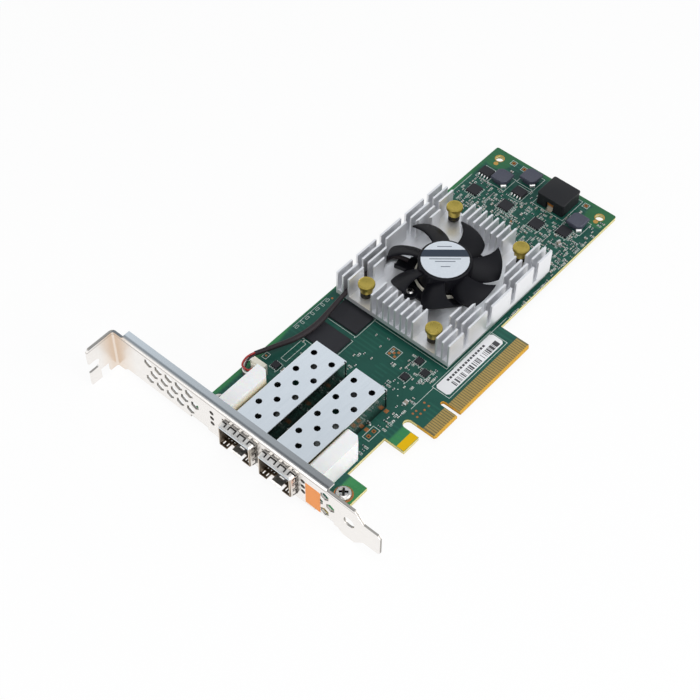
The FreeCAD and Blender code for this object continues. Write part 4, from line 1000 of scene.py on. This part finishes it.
def long_edge(y, high, radius, segments):
    """Rounds the long upper edge of the active piece at a place along Y."""
    bevelled(lambda a, b: abs(a.x - b.x) > 3 and max(abs(a.y - y), abs(b.y - y)) < 0.02
             and min(a.z, b.z) > high - 0.02, radius, segments)


moved_out = 1.0
pipe_low, pipe_high = [corner * 1000 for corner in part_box("light_pipe_left")]
pipe = cad_copy("light_pipe_left")
long_edge(pipe_low.y, pipe_high.z, 1.6, 5)
milky_left = pipe_finish("milky_polycarbonate_left", pipe_low.y + 1.5, pipe_low.y + 0.3)
finished(pipe, "rounded_light_pipe_left", milky_left, replaces=["light_pipe_left"])

pipe_low, pipe_high = [corner * 1000 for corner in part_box("light_pipe_right")]
pipe = cad_copy("light_pipe_right")
pick_faces(lambda middle, normal: normal.y > 0.99 and middle.y > pipe_high.y - 0.02 and middle.x > -58.2)
bpy.ops.transform.translate(value=mm(0, moved_out, 0))
bpy.ops.object.mode_set(mode="OBJECT")
long_edge(pipe_high.y + moved_out, pipe_high.z, 1.3, 5)
milky_right = pipe_finish("milky_polycarbonate_right", pipe_high.y - 0.1, pipe_high.y + 0.6)
finished(pipe, "rounded_light_pipe_right", milky_right, replaces=["light_pipe_right"])

# %% [markdown]
# Each cage is folded from nickel plated sheet. Folding leaves round edges along the roof and a narrow
# gap where wall and rear meet. Near the mouth the floor has small windows and a wide notch for the
# latch. A copy of the solid gets its long roof edges bevelled, and the openings are cut with the
# Boolean modifier.

# %% Transceiver cages
cage_half, cage_top = 6.9, 9.8
floor_openings = [(-62.1, -59.5, -3.3, 3.6), (-61.2, -59.8, 5.7, 6.3), (-61.2, -59.8, 4.1, 4.7),
                  (-59.0, -58.3, 5.7, 6.3), (-59.0, -58.3, 4.3, 4.9), (-59.0, -58.3, 3.0, 3.6),
                  (-61.2, -59.8, -4.4, -3.9), (-61.2, -59.8, -5.6, -5.0)]

for side in ("left", "right"):
    name = "port_cage_" + side
    low, high = [corner * 1000 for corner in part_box(name)]
    centre = (low.y + high.y) / 2
    cage = cad_copy(name)
    for y in (low.y, high.y):
        long_edge(y, cage_top, 0.3, 2)
    openings = [block((x0, centre + y0, -0.5), (x1, centre + y1, 0.6)) for x0, x1, y0, y1 in floor_openings]
    openings.append(block((-14.7, low.y - 0.1, 0.8), (-14.2, low.y + 0.6, 10.0)))
    finished(cut_away(cage, openings), "folded_cage_" + side, nickel_sheet, replaces=[name],
             smooth=10)

# %% [markdown]
# A collar of spring sheet fills the gap between each cage and the bracket's window. It swells out to
# the window and back, and U-shaped slits free its tongues so that they can give. Under it lies a dark
# sheet that shows through the slits as painted shade. The shape is a block with a swollen middle ring,
# made hollow by a smaller one. A bisect makes the ring. It is cut once and copied for the second port.

# %% Port collars
collar_x0, collar_x1, collar_waist = -61.7, -57.4, -59.35
slit_w, slit_x0, slit_x1 = 0.58, -61.1, -59.4
# painted shade: a dark sheet under the collar that darkens the slits
slit_shade_sheet = grained("dark_sheet_for_slit_shade", "#121110", "#231f1c", (0.6, 0.75), 0.4, bump=0.15,
                            IOR=1.5)


def split(place, normal):
    """Cuts new edges round the active piece where a plane passes, still selected in edit mode."""
    bpy.ops.object.mode_set(mode="EDIT")
    bpy.ops.mesh.select_all(action="SELECT")
    bpy.ops.mesh.bisect(plane_co=mm(*place), plane_no=normal)


def swollen(x0, x1, room, swell, z0=0.0):
    """A block over the cage section with some room all round, wider still at the bracket's window."""
    half, high = cage_half + room, cage_top + room
    waist = (collar_waist, 0, 0)
    made = block((x0, -half, z0), (x1, half, high))
    bevelled(lambda a, b: abs(a.x - b.x) > 1 and min(a.z, b.z) > high - 0.01, 0.7, 3)
    split(waist, (1, 0, 0))
    bpy.ops.transform.resize(value=(1.0, (half + swell) / half, (high + swell) / high),
                             center_override=mm(*waist))
    bpy.ops.object.mode_set(mode="OBJECT")
    return made


def slits(low, high, axis):
    """Three thin blocks in a U, open towards the mouth, across the given axis."""
    legs = []
    for place in (low[axis], high[axis]):
        a, b = list(low), list(high)
        a[axis], b[axis] = place - slit_w / 2, place + slit_w / 2
        legs.append(block(a, b))
    return legs + [block((high[0] - slit_w, low[1], low[2]), high)]


collar_core = swollen(collar_x0 - 0.1, collar_x1 + 0.1, 0.06, 0.44, -0.5)
collar = cut_away(swollen(collar_x0, collar_x1, 0.28, 0.44), [collar_core])
for middle in (-6.45, -2.15, 2.15, 6.45):
    cut_away(collar, slits((slit_x0, middle - 1.3, 9.7), (slit_x1, middle + 1.3, 11.0), 1))
for middle in (1.7, 4.9, 8.1):
    for y0, y1 in ((-8.2, -6.8), (6.8, 8.2)):
        cut_away(collar, slits((slit_x0, y0, middle - 1.15), (slit_x1, y1, middle + 1.15), 2))
slit_shade_core = block((-63.0, -cage_half, -0.5), (-56.0, cage_half, cage_top))
slit_shade_shell = cut_away(swollen(-61.3, -57.9, 0.04, 0.42), [slit_shade_core])
port_places = [(0.0, 45.2), (0.0, 27.3)]
finished(copies(collar, port_places), "slit_spring_collars", spring_sheet,
         replaces=["port_collar_left", "port_collar_right"])
finished(copies(slit_shade_shell, port_places), "slit_shade_sheets", slit_shade_sheet)

# %% [markdown]
# In the notch of each cage's floor lies a spring tongue. Its hole takes a peg of the transceiver, and
# its front end is bent down so that the peg can ride over it. The front face of a thin block is
# extruded downwards, and the hole is cut.

# %% Latch tongues
tongue = block((-61.0, -2.15, 0.05), (-53.1, 2.15, 0.35))
pick_faces(lambda middle, normal: normal.x < -0.9)
bpy.ops.mesh.extrude_region_move(TRANSFORM_OT_translate={"value": mm(-0.5, 0, -0.4)})
bpy.ops.object.mode_set(mode="OBJECT")
cut_away(tongue, [block((-59.2, -1.0, -1.0), (-58.1, 1.0, 1.0))])
finished(copies(tongue, port_places), "latch_tongues", spring_sheet)

# %% [markdown]
# The power choke is a block of pressed ferrite with rounded corners and a seam where two halves
# meet. A cube gets its upright edges and its top edges bevelled. Two bisects mark the seam, and the
# ring of faces between them is pushed in. A slot in each end face holds the winding's strap, cut
# with the Boolean modifier.

# %% Power choke
choke_low, choke_high = [corner * 1000 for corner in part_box("power_choke")]
strap_y, strap_slot_w, strap_slot_d, strap_slot_z = 33.8, 3.4, 0.9, 3.6
seam_low, seam_high, seam_shrink = 4.2, 4.45, 0.975

choke = block(choke_low, choke_high)
bevelled(upright, 0.8, 5)
bevelled(lambda a, b: min(a.z, b.z) > choke_high.z - 0.01, 0.35, 3)
for height in (seam_low, seam_high):
    split((0, 0, height), (0, 0, 1))
pick_faces(lambda middle, normal: seam_low < middle.z < seam_high)
bpy.ops.transform.resize(value=(seam_shrink, seam_shrink, 1.0),
                         center_override=mm(*((choke_low + choke_high) / 2)))
bpy.ops.object.mode_set(mode="OBJECT")
for end in (choke_low.x, choke_high.x):
    cut_away(choke, [block((end - strap_slot_d, strap_y - strap_slot_w / 2, -0.5),
                           (end + strap_slot_d, strap_y + strap_slot_w / 2, strap_slot_z))])
finished(choke, "rounded_power_choke", choke_ferrite, replaces=["power_choke"])

# %% [markdown]
# The choke's straps are flat copper that was dipped in solder at the foot. One finish turns from
# copper to tin at a height of about 1.8 mm, as the dip left it.

# %% Choke straps
def dipped_copper():
    """Bare copper above, solder below, with an uneven line between them."""
    finish, tree, place = new_finish("solder_dipped_copper_strap", Metallic=1.0, Roughness=0.3)
    axis = add(tree, "SeparateXYZ", place).outputs
    wave = add(tree, "TexNoise", place, per_mm(1.0))
    edge = add(tree, "Math", wave, mm(0.8), axis["Z"], operation="MULTIPLY_ADD")
    dip = add(tree, "MapRange", edge, mm(2.1), mm(2.4))
    colour = add(tree, "Mix", dip, "#b4afa6", "#e08a48", data_type="RGBA")
    return coat(finish, Base_Color=colour)


dress(dipped_copper(), "choke_leads")

# %% [markdown]
# The three smaller inductors are drums: a square flange with two corners clipped, on a narrower
# body, with tin feet under the clipped corners. The clips are bevels of one segment on two of the
# flange's upright edges.

# %% Drum inductors
drum_places = [(96.6, 56.4), (104.0, 48.2), (96.9, 21.4)]
flange_low, flange_high, flange_half, body_half = 1.9, 3.2, 3.2, 2.6

flange = block((-flange_half, -flange_half, flange_low), (flange_half, flange_half, flange_high))
bevelled(lambda a, b: upright(a, b) and a.x * a.y > 0, 1.4, 1)
bevelled(lambda a, b: min(a.z, b.z) > flange_high - 0.01, 0.25, 3)
pick_faces(lambda middle, normal: middle.z > flange_high - 0.01)
bpy.ops.mesh.inset(thickness=mm(0.35), depth=mm(-0.06))
bpy.ops.object.mode_set(mode="OBJECT")
body = block((-body_half, -body_half, 0.0), (body_half, body_half, flange_low + 0.1))
bevelled(upright, 1.1, 4)
drums = copies(joined([flange, body]), drum_places)
finished(drums, "clipped_drum_inductors", drum_ferrite, replaces=["drum_inductors"])
foot = block((-1.0, -4.1, 0.0), (1.0, -2.4, 1.5))
bevelled(lambda a, b: min(a.z, b.z) > 1.4 and max(a.y, b.y) < -4.0, 0.9, 3)
feet = copies(foot, [(x, y, turn) for x, y in drum_places for turn in (-45.0, 135.0)])
finished(feet, "drum_inductor_feet", tin)

# %% [markdown]
# The board carries well over a hundred chip capacitors and resistors, each about a millimetre long
# with bright tin ends. Some are solids of the construction model, and their places are read from
# it: a copy of the node is merged and split into its loose blocks. The rest fill the zones that the
# photograph shows crowded. A seeded draw picks spots on a grid there, and a spot is left free where
# something larger stands.

# %% Places on the board
def loose_boxes(name):
    """The lowest and highest corners, in millimetres, of each separate solid of a CAD node."""
    cad_copy(name)
    bpy.ops.object.mode_set(mode="EDIT")
    bpy.ops.mesh.select_all(action="SELECT")
    bpy.ops.mesh.separate(type="LOOSE")
    bpy.ops.object.mode_set(mode="OBJECT")
    boxes = []
    for piece in list(bpy.context.selected_objects):
        points = [v.co * 1000 for v in piece.data.vertices]
        boxes.append(tuple(tuple(pick(p[i] for p in points) for i in range(3)) for pick in (min, max)))
        bpy.data.objects.remove(piece)
    return sorted(boxes)


standing = ["heat_sink", "power_choke", "drum_inductors", "leaded_chips", "chip_leads", "flat_chips",
            "small_chips", "memory_chip_1", "memory_chip_2", "serial_label", "chip_capacitors",
            "chip_resistors", "choke_leads", "light_pipe_right", "port_cage_right"]
taken = [box for name in standing for box in loose_boxes(name)]
crowded_zones = [(71.2, 16.2, 84.6, 66.0, 0.62), (84.6, 16.2, 93.0, 66.0, 0.50),
                 (93.0, 25.6, 99.0, 46.0, 0.40), (99.0, 13.8, 104.0, 17.4, 0.3),
                 (84.0, 13.8, 98.0, 17.0, 0.55), (70.6, 13.6, 84.0, 16.2, 0.5),
                 (-9.6, 14.6, 9.6, 27.0, 0.16), (1.8, 17.4, 10.8, 28.0, 0.34),
                 (45.0, 13.1, 68.6, 14.0, 0.9), (-34.0, 14.6, -29.6, 18.2, 0.5),
                 (-16.0, 44.0, -11.4, 62.0, 0.12), (-12.0, 30.0, 10.6, 46.0, 0.05),
                 (-21.6, 14.8, -16.4, 17.6, 0.5), (-14.6, 14.6, -10.6, 18.0, 0.3)]
step_x, step_y, room_x, room_y = 1.5, 1.1, 0.75, 0.7
patch_x, patch_y = 4.4, 3.6
draw = random.Random(11)
spots = []
for x0, y0, x1, y1, share in crowded_zones:
    for i in range(int((x1 - x0) / step_x) + 1):
        for j in range(int((y1 - y0) / step_y) + 1):
            x, y = x0 + step_x * i, y0 + step_y * j
            across = (int(x / patch_x) + int(y / patch_y)) % 3 == 0
            free = all(x < low[0] - room_x or x > high[0] + room_x or y < low[1] - room_y
                       or y > high[1] + room_y for low, high in taken)
            if draw.random() < share and free:
                spots.append((x, y, 90.0 if across else 0.0))
print(len(taken), "solids stand on the board,", len(spots), "spots are free for small parts")

# %% [markdown]
# One small part is a cube with two bisects near its ends. The end caps get the tin finish and the
# middle gets ceramic or black glaze. It is kept to a few faces, because it repeats so often.

# %% Chip capacitors and resistors
def chip_part(length, width, height, cap, middle):
    """A block with tin ends on the board face, centred on the Z axis."""
    made = block((-length / 2, -width / 2, 0.0), (length / 2, width / 2, height))
    cap_x = length / 2 - cap
    for x in (-cap_x, cap_x):
        split((x, 0, 0), (1, 0, 0))
    bevelled(lambda a, b: min(a.z, b.z) > height - 0.01 and a.y == b.y, 0.06, 1)
    made.data.materials.append(middle)
    made.data.materials.append(tin)
    for face in made.data.polygons:
        face.material_index = int(abs(face.center.x) > mm(cap_x - 0.001))
    return made


def middles(name):
    """The middle of each solid of a CAD node, turned along its longer side."""
    return [((x0 + x1) / 2, (y0 + y1) / 2, 90.0 if y1 - y0 > x1 - x0 else 0.0)
            for (x0, y0, _), (x1, y1, _) in loose_boxes(name)]


large_places = [(84.6, 20.6, 60.0), (-8.6, 16.4), (-26.0, 56.6)]
small_parts = [
    ("ceramic_chip_capacitors", "capacitor", (1.3, 0.75, 0.7, 0.3), tan_ceramic,
     middles("chip_capacitors"), ["chip_capacitors"]),
    ("glazed_chip_resistors", "resistor", (1.0, 0.55, 0.4, 0.22), black_glaze,
     middles("chip_resistors"), ["chip_resistors"]),
    ("small_chip_capacitors", "capacitor", (0.95, 0.45, 0.4, 0.24), tan_ceramic, spots[0::2], []),
    ("small_chip_resistors", "resistor", (0.95, 0.45, 0.3, 0.24), black_glaze, spots[1::2], []),
    ("large_chip_capacitors", "capacitor", (2.2, 1.3, 1.2, 0.5), tan_ceramic, large_places, []),
]
for name, slot, size, middle, places, replaced in small_parts:
    finished(copies(chip_part(*size, middle), places), name, None, replaces=replaced)

# %% [markdown]
# White ink on the mask outlines the parts. An outline is a plane inset by the width of the line,
# with its middle deleted, then raised to the thickness of the ink. A straight line is a thin block
# with round ends. All of the ink is joined into one piece later.

# %% Printed outlines
ink_t = 0.02
white_ink = grained("white_screen_ink", "#c3cfc9", "#e4ebe6", (0.55, 0.7), 0.5, bump=0.1, IOR=1.5)
rear_pads = [(107.2, 58.7), (107.2, 53.7), (107.2, 24.6)]


def raised_outline(line, thickness):
    """Leaves a line of some width round the active flat face and raises it to a thickness."""
    bpy.ops.object.mode_set(mode="EDIT")
    bpy.ops.mesh.select_all(action="SELECT")
    bpy.ops.mesh.inset(thickness=mm(line), depth=0.0)
    bpy.ops.mesh.delete(type="FACE")
    bpy.ops.mesh.select_all(action="SELECT")
    bpy.ops.mesh.extrude_region_move(TRANSFORM_OT_translate={"value": mm(0, 0, thickness)})
    bpy.ops.object.mode_set(mode="OBJECT")
    return bpy.context.object


def ink_outline(x0, y0, x1, y1, line=0.16):
    """A printed rectangle between two corners."""
    bpy.ops.object.select_all(action="DESELECT")
    bpy.ops.mesh.primitive_plane_add(size=1.0)
    made = bpy.context.object
    made.location = mm((x0 + x1) / 2, (y0 + y1) / 2, 0.0)
    made.scale = (mm(x1 - x0), mm(y1 - y0), 1.0)
    bpy.ops.object.transform_apply(location=True, rotation=True, scale=True)
    return raised_outline(line, ink_t)


corners = [(12.1, 15.2, 69.1, 64.6), (2.9, 6.6, 35.3, 14.3), (-28.6, 15.5, -22.7, 18.6),
           (3.4, 31.2, 7.8, 35.6), (-22.1, 59.0, -11.6, 61.5), (-26.0, 65.0, -23.2, 67.0)]
corners += [(x - 1.2, y - 1.2, x + 1.2, y + 1.2) for x, y in rear_pads]
for name, clear_x, clear_y in (("memory_chip_1", 0.6, 0.6), ("memory_chip_2", 0.6, 0.6),
                               ("power_choke", 1.0, 1.0), ("flat_chips", 0.55, 0.55),
                               ("small_chips", 0.5, 0.5), ("drum_inductors", 0.75, 0.75),
                               ("leaded_chips", 1.6, 0.35)):
    corners += [(low[0] - clear_x, low[1] - clear_y, high[0] + clear_x, high[1] + clear_y)
                for low, high in loose_boxes(name)]
ink = [ink_outline(*ends) for ends in corners]
for x0, y0, x1, y1 in ((-9.0, 13.5, 2.9, 13.65), (14.0, 13.6, 44.0, 13.75), (70.6, 67.2, 92.0, 67.35),
                       (-12.0, 26.2, -9.4, 26.32), (-9.0, 67.65, 8.8, 67.77)):
    ink.append(rounded(block((x0, y0, 0.0), (x1, y1, ink_t)), 0.05))
print(len(ink), "printed lines and outlines")

# %% [markdown]
# Smaller ink marks stand beside the parts: a thin frame at every third small part and along the back
# edge, and a dot at the first lead of each chip. One frame and one dot are made and copied.

# %% Printed small marks
tick = ink_outline(-0.8, -0.45, 0.8, 0.45, 0.12)
ink.append(copies(tick, spots[::3] + [(-8.0 + 2.7 * i, 66.7, 90.0 * (i % 2)) for i in range(7)]))
dot = turned([(0.22, 0.0), (0.22, ink_t)], 10)
dotted = ("flat_chips", "small_chips", "leaded_chips", "memory_chip_1", "memory_chip_2")
dot_places = [(low[0] - 0.9, low[1] - 0.2) for name in dotted for low, _ in loose_boxes(name)]
dot_places += [(-14.0 + 2.1 * i, 20.6 + 1.7 * (i % 3)) for i in range(6)]
dot_places += [(72.0, 18.0 + 3.1 * i) for i in range(15)]
ink.append(copies(dot, dot_places))
finished(joined(ink), "printed_outlines", white_ink)

# %% [markdown]
# Bare copper shows where the mask leaves an opening: test pads and vias near the connector, pads
# beside the cages, the crossed footprint of a part that is not fitted, and rings round the holes.
# Flat copper with a thin protective film is orange rather than shiny, the tail pads between the cages
# are painted brown as painted shade, and a thin gold flash is yellow.

# %% Bare pads and rings
pad_t = 0.03
filmed_copper = grained("copper_under_organic_film", "#9d6238", "#bb7c4c", (0.35, 0.5), 0.5, bump=0.06,
                        Metallic=0.7)
# painted shade: the tail pads between the cages are darker copper
shaded_copper = grained("copper_with_painted_shade", "#55351f", "#7a4f2e", (0.4, 0.55), 0.5, bump=0.06,
                      Metallic=0.6)
gold_flash = grained("thin_gold_flash_on_pads", "#b58a45", "#d3a75e", (0.3, 0.42), 0.6, bump=0.05,
                     Metallic=0.8)


def ring(x, y, inner, outer):
    """A flat ring of copper round a hole: a disc, inset, with its middle deleted."""
    bpy.ops.object.select_all(action="DESELECT")
    bpy.ops.mesh.primitive_circle_add(vertices=40, radius=mm(outer), fill_type="NGON", location=mm(x, y, 0.0))
    bpy.ops.object.transform_apply(location=True)
    return raised_outline(outer - inner, pad_t)


via = turned([(0.42, 0.0), (0.42, pad_t), (0.18, pad_t), (0.16, 0.005)], 16)
via_places = [(-4.0, 11.9), (-4.1, 9.9), (-8.5, 11.8), (-6.3, 9.9), (-10.1, 11.9), (-8.4, 9.9), (-10.2, 9.9),
              (82.2, 41.0), (10.0, 66.1), (-24.6, 66.0)]
square = turned([(0.95, 0.0), (0.95, pad_t), (0.42, pad_t), (0.4, -0.3)], 4)
square_places = [(x, y, 45.0) for x, y in rear_pads + [(-24.3, 17.05), (-27.0, 17.05)]]
cross = rounded(block((-0.5, -0.5, 0.0), (0.5, 0.5, pad_t)), 0.15)
cross_steps = (-1.15, 0.0, 1.15)
cross_places = [(5.6 + dx, 33.4 + dy) for dx in cross_steps for dy in cross_steps if (dx == 0) == (dy == 0)]
tail_pad = turned([(0.85, 0.0), (0.85, pad_t)], 20)
tail_places = [(x, 35.5) for x in (-20.1, -30.2, -40.2, -50.0)]
side_pad = rounded(block((-0.75, -0.75, 0.0), (0.75, 0.75, pad_t)), 0.15)
side_places = [(-15.2, 19.3), (-25.4, 19.3)]
finished(copies(tail_pad, tail_places), "tail_pads_in_painted_shade", shaded_copper)
copper = [copies(via, via_places), copies(square, square_places), copies(cross, cross_places),
          copies(side_pad, side_places)]
copper += [ring(foot_x, foot_front_y, 2.3, 3.35), ring(foot_x, foot_back_y, 2.3, 2.9)]
finished(joined(copper), "bare_copper_pads", filmed_copper)
fiducial = turned([(0.95, 0.0), (0.95, pad_t)], 28)
flash = [copies(fiducial, [(102.6, 63.9), (103.0, 17.2)])] + [ring(x, y, 1.62, 1.95) for x, y in rear_holes]
finished(joined(flash), "gold_flashed_marks", gold_flash)

# %% [markdown]
# The small chips have stubby tin leads on two sides and the flat chips on all four. The cages stand
# on tails that are soldered through the board. A tail is a thin post with a cone of solder round it
# below the board. Both are made once and copied.

# %% Small leads and solder tails
lead = block((-0.3, -0.16, 0.0), (0.3, 0.16, 0.4))
bevelled(lambda a, b: min(a.z, b.z) > 0.39 and a.x == b.x, 0.12, 2)
lead_places = [(x, (low[1] + high[1]) / 2 + step) for low, high in loose_boxes("small_chips")
               for x in (low[0] - 0.25, high[0] + 0.25) for step in (-0.8, 0.0, 0.8)]
for low, high in loose_boxes("flat_chips"):
    x, y = (low[0] + high[0]) / 2, (low[1] + high[1]) / 2
    for step in (-1.35, -0.45, 0.45, 1.35):
        lead_places += [(edge, y + step) for edge in (low[0] - 0.05, high[0] + 0.05)]
        lead_places += [(x + step, edge, 90.0) for edge in (low[1] - 0.05, high[1] + 0.05)]
finished(copies(lead, lead_places), "stubby_chip_leads", tin)

tail = turned([(0.3, -2.75), (0.36, -2.3), (0.62, -1.85), (0.95, -1.58), (0.42, -1.5), (0.42, 0.0),
               (0.6, 0.02), (0.36, 0.35), (0.28, 1.1)], 12)
tail_spots = [(x, y) for x in (-53.0, -43.0, -33.0, -23.0, -16.5) for y in (52.5, 37.9, 34.6, 20.0)][:-1]
tail_spots += [(-31.0, y) for y in (61.7, 62.95, 64.2)]
finished(copies(tail, tail_spots), "soldered_tails", tin)

# %% [markdown]
# The edge connector has contacts on its underside too. One strip of gold is a thin block with its
# inner end rounded off. It is copied along the blade at the pitch of 1 mm, and a wide one serves
# the tooth.

# %% Underside contacts
board_low_z, gold_t = -1.57, 0.04
strip = block((-0.35, 0.6, board_low_z - gold_t), (0.35, 5.4, board_low_z))
bevelled(lambda a, b: upright(a, b) and a.y > 5.3, 0.3, 3)
strips = copies(strip, [(-1.5 - i, 0.0) for i in range(11)] + [(1.5 + i, 0.0) for i in range(38)])
tooth_pad = block((-23.9, 4.3, board_low_z - gold_t), (-16.4, 8.4, board_low_z))
bevelled(lambda a, b: upright(a, b) and a.y > 8.3, 0.4, 3)
finished(joined([strips, tooth_pad]), "underside_contacts", gold)

# %% [markdown]
# The underside is hidden in the photograph. Boards of this kind carry small capacitors right under
# the controller, where they steady its supply. The small part from above is turned over, lowered to
# the underside and copied to a seeded choice of places on a grid.

# %% Underside capacitors
below_part = chip_part(1.0, 0.5, 0.45, 0.26, tan_ceramic)
below_part.rotation_euler.x = math.pi
below_part.location.z = mm(board_low_z)
bpy.ops.object.transform_apply(location=True, rotation=True, scale=True)
below_grid = [(28.0 + 2.1 * i, 27.5 + 1.6 * j, 90.0 * (i % 2)) for i in range(13) for j in range(16)]
below_places = [place for place in below_grid if draw.random() < 0.4]
finished(copies(below_part, below_places), "underside_chip_capacitors", None)
